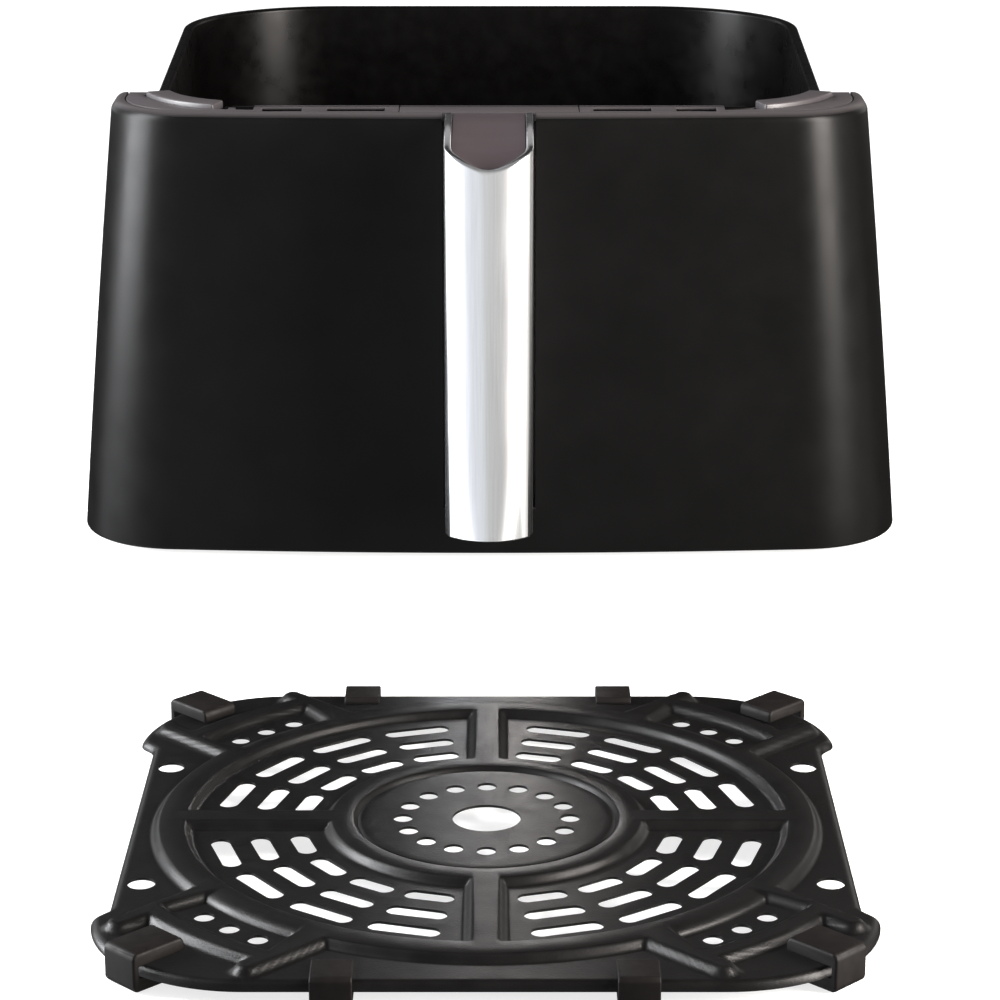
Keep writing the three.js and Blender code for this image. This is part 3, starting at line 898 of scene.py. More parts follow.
@dataclass
class Basket:
    """The pressed basket with its rolled rim."""

    wall: float = 1.0
    rim: float = 4.0
    rim_depth: float = 4.0
    outer_roll: float = 1.3
    inner_roll: float = 1.4
    front_corner: float = 36.0
    rear_corner: float = 58.0
    flare: float = 6.0
    draft: float = 6.0
    floor_round: float = 7.0
    floor_step: float = 1.2
    corner_steps: int = 28
    low: Vector = field(default_factory=lambda: node_box("basket_pan")[0])
    high: Vector = field(default_factory=lambda: node_box("basket_pan")[1])

    def outline(self, grow: float) -> list[tuple[float, float]]:
        """The basket in plan, grown from the inside of its rim.

        Args:
            grow: How far it is grown.

        Returns:
            Points in X and Y.
        """
        rear_reach = self.flare * (1 - self.rear_corner / (self.high.y - self.low.y))
        half_x = self.high.x - self.rim - rear_reach + grow
        half_y = self.high.y - self.rim + grow
        front, rear = self.front_corner + grow, self.rear_corner + grow
        steps = self.corner_steps
        middle = self.front_corner - half_y + grow
        straight = [
            *arc(half_x - rear, half_y - rear, rear, 0, 90, steps),
            *arc(rear - half_x, half_y - rear, rear, 90, 180, steps),
            *arc(front - half_x, front - half_y, front, 180, 270, steps),
            *arc(half_x - front, front - half_y, front, 270, 360, steps),
        ]
        rate = self.flare / (half_y - grow - middle) / (half_x - grow)
        return [(x * (1 + rate * max(0.0, y - middle)), y) for x, y in straight]

    def lean(self, z: float) -> float:
        """How far the wall has moved in below the rim."""
        return -self.draft * (1 - (z - self.wall) / (self.high.z - self.wall))

    def floor_turn(
        self, radius: float, base: float, outside: float, steps: int = 8
    ) -> list[tuple[float, float]]:
        """The rounding from the floor into the wall, as pairs of growth and height.

        Args:
            radius: Its radius.
            base: The height it starts from.
            outside: How far it lies outside the wall.
            steps: Steps round it.

        Returns:
            Pairs of growth and height.
        """
        pairs = []
        for i in range(steps + 1):
            turn = math.pi / 2 * i / steps
            z = base + radius * (1 - math.cos(turn))
            pairs.append((self.lean(base + radius) + outside - radius * (1 - math.sin(turn)), z))
        return pairs

    def section(self) -> list[tuple[float, float]]:
        """The whole section, from the underside's middle round the rim to the floor's middle.

        Returns:
            Pairs of growth and height.
        """
        top = self.high.z
        rim_foot = top - self.rim_depth
        roll = self.outer_roll
        outside = [
            (self.lean(rim_foot) + self.wall, rim_foot - 0.8),
            (self.lean(rim_foot) + self.wall + 0.3, rim_foot - 0.2),
            (self.rim - roll, rim_foot),
        ]
        tip, turn = self.rim - roll, self.inner_roll
        lower = [(tip + roll * math.sin(t), rim_foot + roll * (1 - math.cos(t))) for t in QUARTER]
        upper = [(tip + roll * math.cos(t), top - roll + roll * math.sin(t)) for t in QUARTER]
        inner = [(turn - turn * math.sin(t), top - turn + turn * math.cos(t)) for t in QUARTER]
        under = self.floor_turn(self.floor_round + self.wall, 0, self.wall)
        floor = list(reversed(self.floor_turn(self.floor_round, self.wall, 0)))
        edge = floor[-1][0]
        step = [
            (edge - 7, self.wall),
            (edge - 8.5, self.wall + self.floor_step * 0.2),
            (edge - 10.5, self.wall + self.floor_step * 0.8),
            (edge - 12, self.wall + self.floor_step),
        ]
        return [*under, *outside, *lower, *upper, *inner, *floor, *step]

    def build(self) -> None:
        """Builds the basket and lowers its wall behind the front trim."""
        rings = [[(x, y, z) for x, y in self.outline(grow)] for grow, z in self.section()]
        points, faces = ring_band(rings, closed=True)
        count = len(rings[0])
        last = (len(rings) - 1) * count
        faces += [tuple(range(count)), tuple(range(last, last + count))]
        made = mesh_object("basket_pan_coated", points, faces)
        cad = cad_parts["basket_pan"].data.vertices
        notch_z = min(v.co.z for v in cad if v.co.y < 0 and v.co.z / MM > self.high.z / 2) / MM
        tab_high = node_box("corner_tab_left")[1]
        tool = box_object(
            "front_drop_tool",
            (self.low.x - 1, self.low.y - 1, notch_z),
            (self.high.x + 1, tab_high.y + 0.3, self.high.z + 1),
        )
        cut_away(made, tool)
        smooth(made, 40)
        finish_piece(made, Finish.BASKET, Body.DRAWER, ["basket_pan"])


# ------------------------------------------------------------------ handle


@dataclass
class Handle:
    """The upright handle: a U-shaped steel sleeve round a black insert with a thumb rest on top."""

    front_sag: float = 7.4
    corner: float = 8.0
    wall: float = 2.6
    front_thinning: float = 1.4
    gap: float = 0.3
    crest: float = 37.0
    drop: float = 14.8
    edge: float = 0.45
    foot_edge: float = 0.8
    sink: float = 0.5
    scoop: float = 1.6
    scoop_start: float = 12.0
    scoop_side: float = 6.0
    scoop_steps: int = 12
    slope_sink: float = 0.5
    middle_line: float = 40.0
    low: Vector = field(default_factory=lambda: node_box("handle_sleeve")[0])
    high: Vector = field(default_factory=lambda: node_box("handle_sleeve")[1])

    @property
    def top(self) -> float:
        """The height of the handle's flat top."""
        return node_box("front_panel")[1].z

    def inner_plan(self, inset: float, back: float) -> list[tuple[float, float]]:
        """The plan at an inset, moved forwards where the wall is thinner across the front."""
        return [(x, y if y == back else y - self.front_thinning) for x, y in self.plan(inset, back)]

    def plan(self, inset: float, back: float, steps: int = 14) -> list[tuple[float, float]]:
        """The handle in plan, narrowed by an inset, from the right rear round the front to the left rear.

        Args:
            inset: The distance inside the outer face.
            back: Where it ends at the back.
            steps: Steps round a corner.

        Returns:
            Points in X and Y.
        """
        half = self.high.x - inset
        corner = self.corner - inset
        tip = self.low.y + inset
        across = half - corner
        bow = (half * half + self.front_sag**2) / (2 * self.front_sag)
        centre = tip + bow - math.sqrt((bow - corner) ** 2 - across**2)
        meets = math.degrees(math.atan2(across, tip + bow - centre))
        right = arc(across, centre, corner, 0, meets - 90, steps)
        front = arc(0, tip + bow, bow, meets - 90, -90 - meets, steps)[1:-1]
        left = [(-x, y) for x, y in reversed(right)]
        straight = [centre + (back - centre) * k / 8 for k in range(8, 0, -1)]
        sides = [(half, y) for y in straight]
        return [*sides, *right, *front, *left, *[(-x, y) for x, y in reversed(sides)]]

    def height(self, y: float) -> float:
        """The handle's top at a distance in front, falling away along an ellipse towards the tip.

        Args:
            y: The place from back to front.

        Returns:
            The height there.
        """
        ahead = (self.low.y + self.crest - y) / self.crest
        fall = 1 - math.sqrt(max(0.0, 1 - min(1.0, max(0.0, ahead) * 0.995) ** 2))
        return self.top - self.drop * fall

    def sleeve(self) -> bpy.types.Object:
        """The steel sleeve, with its edges rounded over.

        Returns:
            The sleeve.
        """
        back = self.high.y
        e, f = self.edge, self.foot_edge
        insets = [0, 0, 0, e * 0.3, e, self.wall - e, self.wall, self.wall, self.wall, f]
        lines = [self.plan(k, back) if k < self.wall / 2 else self.inner_plan(k, back) for k in insets]
        sections = []
        for i in range(len(lines[0])):
            ring = []
            for k, inset in enumerate(insets):
                x, y = lines[k][i]
                high = self.height(y)
                rise = [self.low.z + f, self.low.z + self.middle_line, high - e, high - e * 0.3, high]
                fall = [high, high - e, self.low.z + self.middle_line, self.low.z, self.low.z]
                ring.append((x, y, [*rise, *fall][k]))
            sections.append(ring)
        made = sweep("handle_sleeve_satin", sections)
        smooth(made, 50)
        return finish_piece(made, Finish.STEEL, Body.DRAWER, ["handle_sleeve"])

    def insert(self) -> bpy.types.Object:
        """The black insert, whose top is scooped for a thumb where it falls away.

        Returns:
            The insert.
        """
        box_low, box_high = node_box("handle_insert")
        inset = self.wall + self.gap
        back = node_box("top_trim_centre")[0].y - self.gap
        path = self.inner_plan(inset, back)
        half_count = len(path) // 2 + 1
        right, left = path[:half_count], list(reversed(path))[:half_count]
        across = self.scoop_steps
        top: list[list[Point]] = []
        for (xr, y), (xl, _) in zip(right, left):
            row = []
            for k in range(across + 1):
                u = 2 * k / across - 1
                x = xr + (xl - xr) * k / across
                sloped = min(1.0, max(0.0, (self.low.y + self.crest - y) / self.scoop_start))
                dish = self.scoop * (1 - u * u) * sloped * min(1.0, abs(xr) / self.scoop_side)
                row.append((x, y, self.height(y) - self.sink - self.slope_sink * sloped - dish))
            top.append(row)
        bottom = [[(x, y, box_low.z) for x, y, _ in row] for row in top]
        points = [p for row in top + bottom for p in row]
        width, rows = across + 1, len(top)
        under = rows * width
        faces = []
        for r in range(rows - 1):
            for k in range(across):
                a = r * width + k
                faces.append((a, a + 1, a + width + 1, a + width))
                faces.append((under + a, under + a + width, under + a + width + 1, under + a + 1))
            for k in (0, across):
                a = r * width + k
                faces.append((a, a + width, under + a + width, under + a))
        for r in (0, rows - 1):
            for k in range(across):
                a = r * width + k
                faces.append((a, a + 1, under + a + 1, under + a))
        made = mesh_object("handle_insert_moulded", points, faces)
        smooth(made, 40)
        root = box_object(
            "handle_root",
            (-right[0][0], back - 1, box_low.z),
            (right[0][0], box_high.y, node_box("top_trim_centre")[0].z - self.gap),
        )
        union = made.modifiers.new("root", "BOOLEAN")
        union.operation, union.solver, union.object = "UNION", "EXACT", root
        bake_modifiers(made)
        bpy.data.objects.remove(root)
        smooth(made, 40)
        return finish_piece(made, Finish.INSERT, Body.DRAWER, ["handle_insert"])

    def build(self) -> None:
        """Builds the sleeve, the insert and the cap underneath."""
        self.sleeve()
        self.insert()
        cap = soften(copy_of("handle_bottom_cap", "handle_bottom_cap_moulded"), 0.4, 2)
        smooth(cap)
        finish_piece(cap, Finish.INSERT, Body.DRAWER, ["handle_bottom_cap"])


# ------------------------------------------------------------------ hardware


@dataclass
class Hardware:
    """The steel bracket and the screws that hold the drawer together."""

    head: float = 3.0
    head_height: float = 2.0
    shank: float = 1.4
    head_sides: int = 28
    shank_sides: int = 16

    def screw_tree(self, length: float) -> GeometryTree:
        """A tree that puts one pan-head screw on each point, shank towards the handle.

        Args:
            length: The shank's length, in millimetres.

        Returns:
            The tree.
        """
        tree = GeometryTree(f"screws_{length:.0f}")
        radius = tree.size("Head radius", self.head * MM)
        height = tree.size("Head height", self.head_height * MM)
        shank = tree.size("Shank radius", self.shank * MM)
        reach = tree.size("Shank length", length * MM)
        head = tree.solid("Cylinder", {"Vertices": self.head_sides, "Radius": radius, "Depth": height})
        body = tree.solid("Cylinder", {"Vertices": self.shank_sides, "Radius": shank, "Depth": reach})
        long, thin, deep = self.head * 1.1 * MM, self.head * 0.24 * MM, self.head_height * MM
        slot = tree.solid("Cube", {"Size": (long, thin, deep)})
        cross = tree.solid("Cube", {"Size": (thin, long, deep)})
        # Known fault: these shifts land in the node's rotation, so slots, head and shank
        # all stay centred on the seat instead of moving along the screw.
        tools = self.turned(tree, tree.join(slot, cross), tree.math("MULTIPLY", height, 0.6))
        cut = tree.add("GeometryNodeMeshBoolean", operation="DIFFERENCE", solver="EXACT")
        plug(cut.inputs["Mesh 1"], head)
        plug(cut.inputs["Mesh 2"], tools)
        slotted = self.turned(tree, cut.outputs[0], tree.math("MULTIPLY", height, 0.5))
        shaft = self.turned(tree, body, tree.math("MULTIPLY", reach, -0.5))
        upright = tree.join(slotted, shaft)
        placed = tree.add("GeometryNodeInstanceOnPoints", tree.entry.outputs[0], None, upright)
        placed.inputs["Rotation"].default_value = (-math.pi / 2, 0, 0)
        tree.close(placed.outputs[0], Finish.ZINC.material())
        return tree

    @staticmethod
    def turned(
        tree: GeometryTree, mesh: bpy.types.NodeSocket, turn: bpy.types.NodeSocket
    ) -> bpy.types.NodeSocket:
        """A mesh turned about Z by a number of radians."""
        return tree.add("GeometryNodeTransform", mesh, None, tree.vector(0, 0, turn)).outputs[0]

    def screws(self, kind: str) -> None:
        """One set of screws, put where the frame has them.

        Args:
            kind: The set's name, such as cover_screw.
        """
        names = sorted(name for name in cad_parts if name.startswith(kind))
        boxes = [node_box(name) for name in names]
        seats = [((a.x + b.x) / 2, b.y - self.head_height, (a.z + b.z) / 2) for a, b in boxes]
        length = boxes[0][1].y - boxes[0][0].y - self.head_height
        made = mesh_object(kind + "s_zinced", seats, [])
        self.screw_tree(length).apply_to(made)
        smooth(made, 30)
        finish_piece(made, Finish.ZINC, Body.DRAWER, names)

    def build(self) -> None:
        """Builds the bracket and the three sets of screws."""
        made = soften(copy_of("basket_bracket", "basket_bracket_pressed"), 0.25, 2)
        smooth(made)
        finish_piece(made, Finish.ZINC, Body.DRAWER, ["basket_bracket"])
        for kind in ("handle_screw", "cover_screw", "bracket_screw"):
            self.screws(kind)


# ------------------------------------------------------------------ crisper plate


def ease(value: np.ndarray) -> np.ndarray:
    """Smoothly maps 0 to 1 onto 0 to 1, flat at both ends."""
    t = np.clip(value, 0, 1)
    return t * t * (3 - 2 * t)


def band(value: np.ndarray, low: float, high: float) -> np.ndarray:
    """How far a value lies outside a range, negative inside it."""
    return np.maximum(low - value, value - high)


@dataclass
class CrisperPlate:
    """The stamped, perforated plate."""

    sheet: float = 0.8
    rise: float = 2.6
    slope: float = 2.9
    hub_step: float = 1.0
    edge_round: float = 2.7
    waist_in: float = 4.5
    waist_half: float = 61.25
    ear_half: float = 69.25
    corner: float = 45.75
    hub: tuple[float, float] = (38.75, 47.5)
    outer_rib: tuple[float, float] = (88.75, 98.75)
    cross_rib: float = 5.0
    arm_side: float = 22.0
    arm_end: float = 31.75
    arm_reach: float = 118.6
    arm_root: float = 2.0
    fingers: tuple[tuple[float, float], ...] = ((-18.5, 125.5), (28.2, 119.0))
    finger_radius: float = 3.5
    pocket: tuple[float, float, float, float] = (97.5, 111.25, 36.0, 57.6)
    round_steps: int = 680
    punch_turn: float = 0.5
    slot_edge: float = 8.9
    slot_half_width: float = 3.0
    slot_angles: tuple[float, float, float] = (16.6, 18.95, 7.6)
    hole: float = 3.0
    hole_ring: float = 25.0
    middle_hole: float = 10.25
    pocket_holes: tuple[float, float, float] = (104.2, 40.95, 6.05)
    flange_hole: tuple[float, float, float] = (4.1, 98.65, 45.0)
    crisp_angle: float = 60.0
    low: Vector = field(default_factory=lambda: node_box("crisper_plate")[0])
    high: Vector = field(default_factory=lambda: node_box("crisper_plate")[1])

    @property
    def centre(self) -> Vector:
        """The plate's middle in plan."""
        return (self.low + self.high) / 2

    @property
    def flange(self) -> float:
        """The height of the flange's top."""
        return self.high.z - self.rise

    def outline(self, inset: float, turns: np.ndarray) -> np.ndarray:
        """The plate's edge along rays from its middle.

        Args:
            inset: The distance inside the edge.
            turns: The ray's angles, in radians.

        Returns:
            One point for each ray.
        """
        half_x = (self.high.x - self.low.x) / 2 - inset
        half_y = (self.high.y - self.low.y) / 2 - inset
        radius = self.corner - inset
        c, s = np.abs(np.cos(turns)), np.abs(np.sin(turns))
        cx, cy = half_x - radius, half_y - radius
        flat = np.minimum(half_x / np.maximum(c, 1e-9), half_y / np.maximum(s, 1e-9))
        dot = c * cx + s * cy
        reach = dot + np.sqrt(np.maximum(dot * dot - (cx * cx + cy * cy - radius * radius), 0))
        in_corner = (c * flat > cx) & (s * flat > cy)
        ray = np.where(in_corner, reach, flat)
        points = np.stack([ray * np.cos(turns), ray * np.sin(turns)], axis=1)
        along = np.abs(points[:, 1])
        waist = self.waist_in * (1 - ease((along - self.waist_half) / (self.ear_half - self.waist_half)))
        sideways = (np.abs(points[:, 0]) > half_x * 0.7) & (along < self.ear_half)
        points[:, 0] -= np.sign(points[:, 0]) * np.where(sideways, waist, 0)
        return points

    def relief(self, x: np.ndarray, y: np.ndarray) -> np.ndarray:
        """The height of the stamped ribs above the flange.

        Args:
            x: Places across, about the plate's middle.
            y: Places ahead, about the plate's middle.

        Returns:
            Heights above the flange.
        """
        r = np.hypot(x, y)
        ax, ay = np.abs(x), np.abs(y)
        cross = np.maximum(np.minimum(ax, ay) - self.cross_rib, band(r, self.hub[0], self.outer_rib[1]))
        half = math.sqrt(0.5)
        u, v = (ax + ay) * half, (ay - ax) * half
        root = self.outer_rib[0] + self.arm_root
        arm = np.maximum(np.maximum(band(v, -self.arm_side, self.arm_end), root - u), r - self.arm_reach)
        turn = np.degrees(np.arctan2(ay, ax))
        low, high, start, end = self.pocket
        spread = band(turn, start, end) * math.pi / 180 * (low + high) / 2
        pocket = np.maximum(band(r, low, high), spread)
        rings = np.minimum(band(r, *self.hub), band(r, *self.outer_rib))
        raised = np.minimum(rings, np.minimum(cross, arm))
        for across, tip in self.fingers:
            beyond = np.maximum(np.maximum(u - tip, self.outer_rib[1] - u), 0)
            raised = np.minimum(raised, np.hypot(beyond, v - across) - self.finger_radius)
        raised = np.maximum(raised, -pocket)
        ribs = self.rise * ease(0.5 - raised / self.slope)
        middle = (self.rise - self.hub_step) * ease((self.hub[0] + self.slope / 2 - r) / self.slope)
        return np.maximum(ribs, middle)

    def radii(self) -> list[float]:
        """Ring radii inside the flange, closer together where a rib's side slopes.

        Returns:
            The radii, in order.
        """
        edges = [*self.hub, *self.outer_rib]
        near = [e + d for e in edges for d in (-1.5, -0.9, -0.3, 0.3, 0.9, 1.5)]
        plain = [4, 10, 17, 24, 31, 35, 43, *np.arange(51, 86.5, 2.4), 93.75]
        return sorted([*near, *map(float, plain)])

    def surface(self, blend_rings: int, every: int) -> list[np.ndarray]:
        """Rings of points over the plate's top, from the middle to just inside the rolled edge.

        Args:
            blend_rings: Rings between the outer rib and the rolled edge.
            every: Only every so many rings inside are kept.

        Returns:
            Rings of points about the plate's middle, with heights above the flange.
        """
        turns = np.linspace(0, 2 * math.pi, self.round_steps, endpoint=False)
        circle = np.stack([np.cos(turns), np.sin(turns)], axis=1)
        rings = [circle * r for r in self.radii()[::every]]
        start, end = circle * (self.outer_rib[1] + 1.9), self.outline(self.edge_round, turns)
        rings += [start + (end - start) * k for k in np.linspace(0, 1, blend_rings)]
        raised = [np.column_stack([ring, self.relief(ring[:, 0], ring[:, 1])]) for ring in rings]
        return raised

    def rolled_edge(self, offset: float, steps: int) -> list[np.ndarray]:
        """Rings down the rolled edge, whose inner face lies a wall behind its outer one.

        Args:
            offset: How far inside the outer face.
            steps: Rings round the turn.

        Returns:
            Rings of points about the plate's middle.
        """
        turns = np.linspace(0, 2 * math.pi, self.round_steps, endpoint=False)
        rings = []
        for turn in (math.pi / 2 * i / steps for i in range(1, steps + 1)):
            radius = self.edge_round - offset
            inset = self.edge_round - radius * math.sin(turn)
            drop = self.edge_round - radius * math.cos(turn)
            plan = self.outline(inset, turns)
            rings.append(np.column_stack([plan, np.full(len(plan), -drop)]))
        return rings

    def blank(self) -> bpy.types.Object:
        """The stamped plate before its holes are punched.

        Returns:
            The closed blank.
        """
        top = [*self.surface(34, 1), *self.rolled_edge(0, 6)]
        under = [*self.surface(14, 2), *self.rolled_edge(self.sheet, 3)]
        lowered = []
        for i, ring in enumerate(under):
            flat = ring.copy()
            if i < len(under) - 3:
                flat[:, 2] -= self.sheet
            lowered.append(flat)
        rings = [*top, *reversed(lowered)]
        shift = np.array([self.centre.x, self.centre.y, self.flange])
        placed = [[tuple(p) for p in ring + shift] for ring in rings]
        points, faces = ring_band(placed, closed=True)
        count = self.round_steps
        last = (len(placed) - 1) * count
        faces += [tuple(range(count)), tuple(range(last, last + count))]
        return mesh_object("crisper_plate_stamped", points, faces)

    def punch_tree(self) -> GeometryTree:
        """A tree that punches every slot and hole out of the plate, in rows about its middle.

        Returns:
            The tree.
        """
        tree = GeometryTree("punched_holes")
        level = tree.size("Punch middle height", (self.low.z + self.high.z) / 2 * MM)
        depth = tree.size("Punch depth", (self.high.z - self.low.z + 4) * MM)
        middle_x = tree.size("Middle X", self.centre.x * MM)
        middle_y = tree.size("Middle Y", self.centre.y * MM)
        shift = tree.vector(middle_x, middle_y, 0.0)
        punches = [self.slot_punches(tree), *self.hole_punches(tree)]
        upright = tree.join(*punches)
        spot = tree.add("GeometryNodeInputPosition").outputs[0]
        parts = tree.add("ShaderNodeSeparateXYZ", spot)
        lifted = tree.math("ADD", level, tree.math("MULTIPLY", parts.outputs[2], depth))
        moved = tree.vector(parts.outputs[0], parts.outputs[1], lifted)
        stretched = tree.add("GeometryNodeSetPosition", upright, None, moved).outputs[0]
        placed = tree.add("GeometryNodeSetPosition", stretched, None, None, shift).outputs[0]
        cut = tree.add("GeometryNodeMeshBoolean", operation="DIFFERENCE", solver="MANIFOLD")
        tree.group.links.new(tree.entry.outputs[0], cut.inputs["Mesh 1"])
        tree.group.links.new(placed, cut.inputs["Mesh 2"])
        tree.close(cut.outputs[0], Finish.PLATE.material())
        return tree

    def prism(self, tree: GeometryTree, sides: int) -> bpy.types.NodeSocket:
        """A closed punch of unit radius and unit height, centred on the origin."""
        cylinder = tree.solid("Cylinder", {"Vertices": sides, "Radius": 1.0, "Depth": 1.0})
        return tree.add("GeometryNodeTransform", cylinder, None, (0, 0, self.punch_turn)).outputs[0]

    def slot_punches(self, tree: GeometryTree) -> bpy.types.NodeSocket:
        """The curved slots: a straight slot on each point, bent about the plate's middle.

        Args:
            tree: The tree.

        Returns:
            The punches, of unit height.
        """
        rows = tree.size("Slot rows", 3)
        per_row = tree.size("Slots in a row's quarter", 4)
        radius = tree.size("First row radius", (self.hub[1] + self.slot_edge) * MM)
        pitch = tree.size("Row pitch", (self.outer_rib[0] - self.hub[1] - 2 * self.slot_edge) / 2 * MM)
        start, spacing, span = (math.radians(angle) for angle in self.slot_angles)
        first = tree.size("First slot angle", start)
        step = tree.size("Slot angle pitch", spacing)
        half_width = tree.size("Slot half width", self.slot_half_width * MM)
        half_span = tree.size("Slot half span", span)
        count = tree.math("MULTIPLY", tree.math("MULTIPLY", rows, per_row), 4)
        index = tree.index()
        row = tree.math("MODULO", index, rows)
        in_row = tree.math("FLOOR", tree.math("DIVIDE", index, rows))
        slot = tree.math("MODULO", in_row, per_row)
        quarter = tree.math("FLOOR", tree.math("DIVIDE", in_row, per_row))
        ring = tree.math("ADD", radius, tree.math("MULTIPLY", row, pitch))
        angle = tree.math("ADD", first, tree.math("MULTIPLY", slot, step))
        angle = tree.math("ADD", angle, tree.math("MULTIPLY", quarter, math.pi / 2))
        points = tree.points(count)
        keep_ring = self.store(tree, points, "ring", ring)
        keep_both = self.store(tree, keep_ring, "angle", angle)
        placed = tree.add("GeometryNodeInstanceOnPoints", keep_both, None, self.prism(tree, 24)).outputs[0]
        loose = tree.add("GeometryNodeRealizeInstances", placed).outputs[0]
        spot = tree.add("ShaderNodeSeparateXYZ", tree.add("GeometryNodeInputPosition").outputs[0])
        x, y, z = spot.outputs
        own_ring = self.read(tree, "ring")
        own_angle = self.read(tree, "angle")
        cap = tree.math("DIVIDE", half_width, own_ring)
        straight = tree.math("MULTIPLY", tree.math("SIGN", x), tree.math("SUBTRACT", half_span, cap))
        turn = tree.math("SUBTRACT", own_angle, tree.math("ADD", straight, tree.math("MULTIPLY", x, cap)))
        reach = tree.math("ADD", own_ring, tree.math("MULTIPLY", y, half_width))
        bent = tree.vector(
            tree.math("MULTIPLY", reach, tree.math("COSINE", turn)),
            tree.math("MULTIPLY", reach, tree.math("SINE", turn)),
            z,
        )
        return tree.add("GeometryNodeSetPosition", loose, None, bent).outputs[0]

    def hole_punches(self, tree: GeometryTree) -> list[bpy.types.NodeSocket]:
        """The round holes: the middle one, the ring round it, the corner pockets' and the flange's.

        Args:
            tree: The tree.

        Returns:
            The punches, of unit height.
        """
        pocket_reach, pocket_start, pocket_pitch = self.pocket_holes
        flange_radius, across, ahead = self.flange_hole
        hole = tree.size("Hole radius", self.hole * MM)
        ring = tree.size("Hole ring radius", self.hole_ring * MM)
        ring_count = tree.size("Holes in the ring", 16)
        centre = tree.size("Middle hole radius", self.middle_hole * MM)
        pocket = tree.size("Pocket hole radius from middle", pocket_reach * MM)
        pocket_first = tree.size("First pocket hole angle", math.radians(pocket_start))
        pocket_step = tree.size("Pocket hole angle pitch", math.radians(pocket_pitch))
        flange = tree.size("Flange hole radius", flange_radius * MM)
        flange_x = tree.size("Flange hole X", across * MM)
        flange_y = tree.size("Flange hole Y", ahead * MM)
        index = tree.index()
        around = tree.math("MULTIPLY", index, tree.math("DIVIDE", 2 * math.pi, ring_count))
        on_ring = tree.vector(
            tree.math("MULTIPLY", ring, tree.math("COSINE", around)),
            tree.math("MULTIPLY", ring, tree.math("SINE", around)),
            0.0,
        )
        in_pocket = tree.math("MODULO", index, 3.0)
        quarter = tree.math("FLOOR", tree.math("DIVIDE", index, 3.0))
        turn = tree.math("ADD", pocket_first, tree.math("MULTIPLY", in_pocket, pocket_step))
        on_pocket = self.mirrored(
            tree,
            quarter,
            tree.math("MULTIPLY", pocket, tree.math("COSINE", turn)),
            tree.math("MULTIPLY", pocket, tree.math("SINE", turn)),
        )
        on_flange = self.mirrored(tree, index, flange_x, flange_y)
        return [
            self.round_punches(tree, 1, None, centre, 64),
            self.round_punches(tree, ring_count, on_ring, hole, 28),
            self.round_punches(tree, 12, on_pocket, hole, 28),
            self.round_punches(tree, 4, on_flange, flange, 32),
        ]

    @staticmethod
    def mirrored(tree: GeometryTree, quarter: bpy.types.NodeSocket, x: Any, y: Any) -> bpy.types.NodeSocket:
        """A place in the first quarter, mirrored into the quarter of a number from 0 to 3.

        Args:
            tree: The tree.
            quarter: The number of the quarter.
            x: The place across.
            y: The place ahead.

        Returns:
            The place in its quarter.
        """
        odd = tree.math("MODULO", quarter, 2.0)
        upper = tree.math("FLOOR", tree.math("DIVIDE", quarter, 2.0))
        sign_x = tree.math("SUBTRACT", 1.0, tree.math("MULTIPLY", odd, 2.0))
        sign_y = tree.math("SUBTRACT", 1.0, tree.math("MULTIPLY", upper, 2.0))
        return tree.vector(tree.math("MULTIPLY", x, sign_x), tree.math("MULTIPLY", y, sign_y), 0.0)

    def round_punches(
        self,
        tree: GeometryTree,
        count: Any,
        places: bpy.types.NodeSocket | None,
        radius: bpy.types.NodeSocket,
        sides: int,
    ) -> bpy.types.NodeSocket:
        """Round punches on a number of places.

        Args:
            tree: The tree.
            count: How many there are.
            places: Where they stand, or None for the middle.
            radius: Their radius.
            sides: Sides of each punch.

        Returns:
            The punches, of unit height.
        """
        points = tree.add("GeometryNodeSetPosition", tree.points(count), None, places).outputs[0]
        placed = tree.add("GeometryNodeInstanceOnPoints", points, None, self.prism(tree, sides))
        tree.group.links.new(tree.vector(radius, radius, 1.0), placed.inputs["Scale"])
        return tree.add("GeometryNodeRealizeInstances", placed.outputs[0]).outputs[0]

    @staticmethod
    def store(
        tree: GeometryTree, geometry: bpy.types.NodeSocket, name: str, value: bpy.types.NodeSocket
    ) -> bpy.types.NodeSocket:
        """Keeps a number on each point under a name.

        Args:
            tree: The tree.
            geometry: The points.
            name: The name.
            value: The number.

        Returns:
            The points with the number.
        """
        node = tree.group.nodes.new("GeometryNodeStoreNamedAttribute")
        node.data_type, node.domain = "FLOAT", "POINT"
        node.inputs["Name"].default_value = name
        tree.group.links.new(geometry, node.inputs["Geometry"])
        tree.group.links.new(value, node.inputs["Value"])
        return node.outputs[0]

    @staticmethod
    def read(tree: GeometryTree, name: str) -> bpy.types.NodeSocket:
        """Reads a number that was kept under a name.

        Args:
            tree: The tree.
            name: The name.

        Returns:
            The number on each point.
        """
        node = tree.group.nodes.new("GeometryNodeInputNamedAttribute")
        node.data_type = "FLOAT"
        node.inputs["Name"].default_value = name
        return node.outputs["Attribute"]

    def build(self) -> None:
        """Stamps the plate, punches it and dresses it."""
        made = self.blank()
        self.punch_tree().apply_to(made)
        smooth(made, self.crisp_angle)
        finish_piece(made, Finish.PLATE, Body.PLATE, ["crisper_plate"])


@dataclass
class Bumpers:
    """The push-on silicone clips on the plate's edges and corners."""

    rounding: float = 1.1

    def build(self) -> None:
        """Builds one rounded clip for each CAD clip."""
        for node in sorted(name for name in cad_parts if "bumper" in name):
            made = soften(copy_of(node, node + "_silicone"), self.rounding, 4, 30)
            smooth(made, 50)
            finish_piece(made, Finish.SILICONE, Body.PLATE, [node])


# ------------------------------------------------------------------ studio


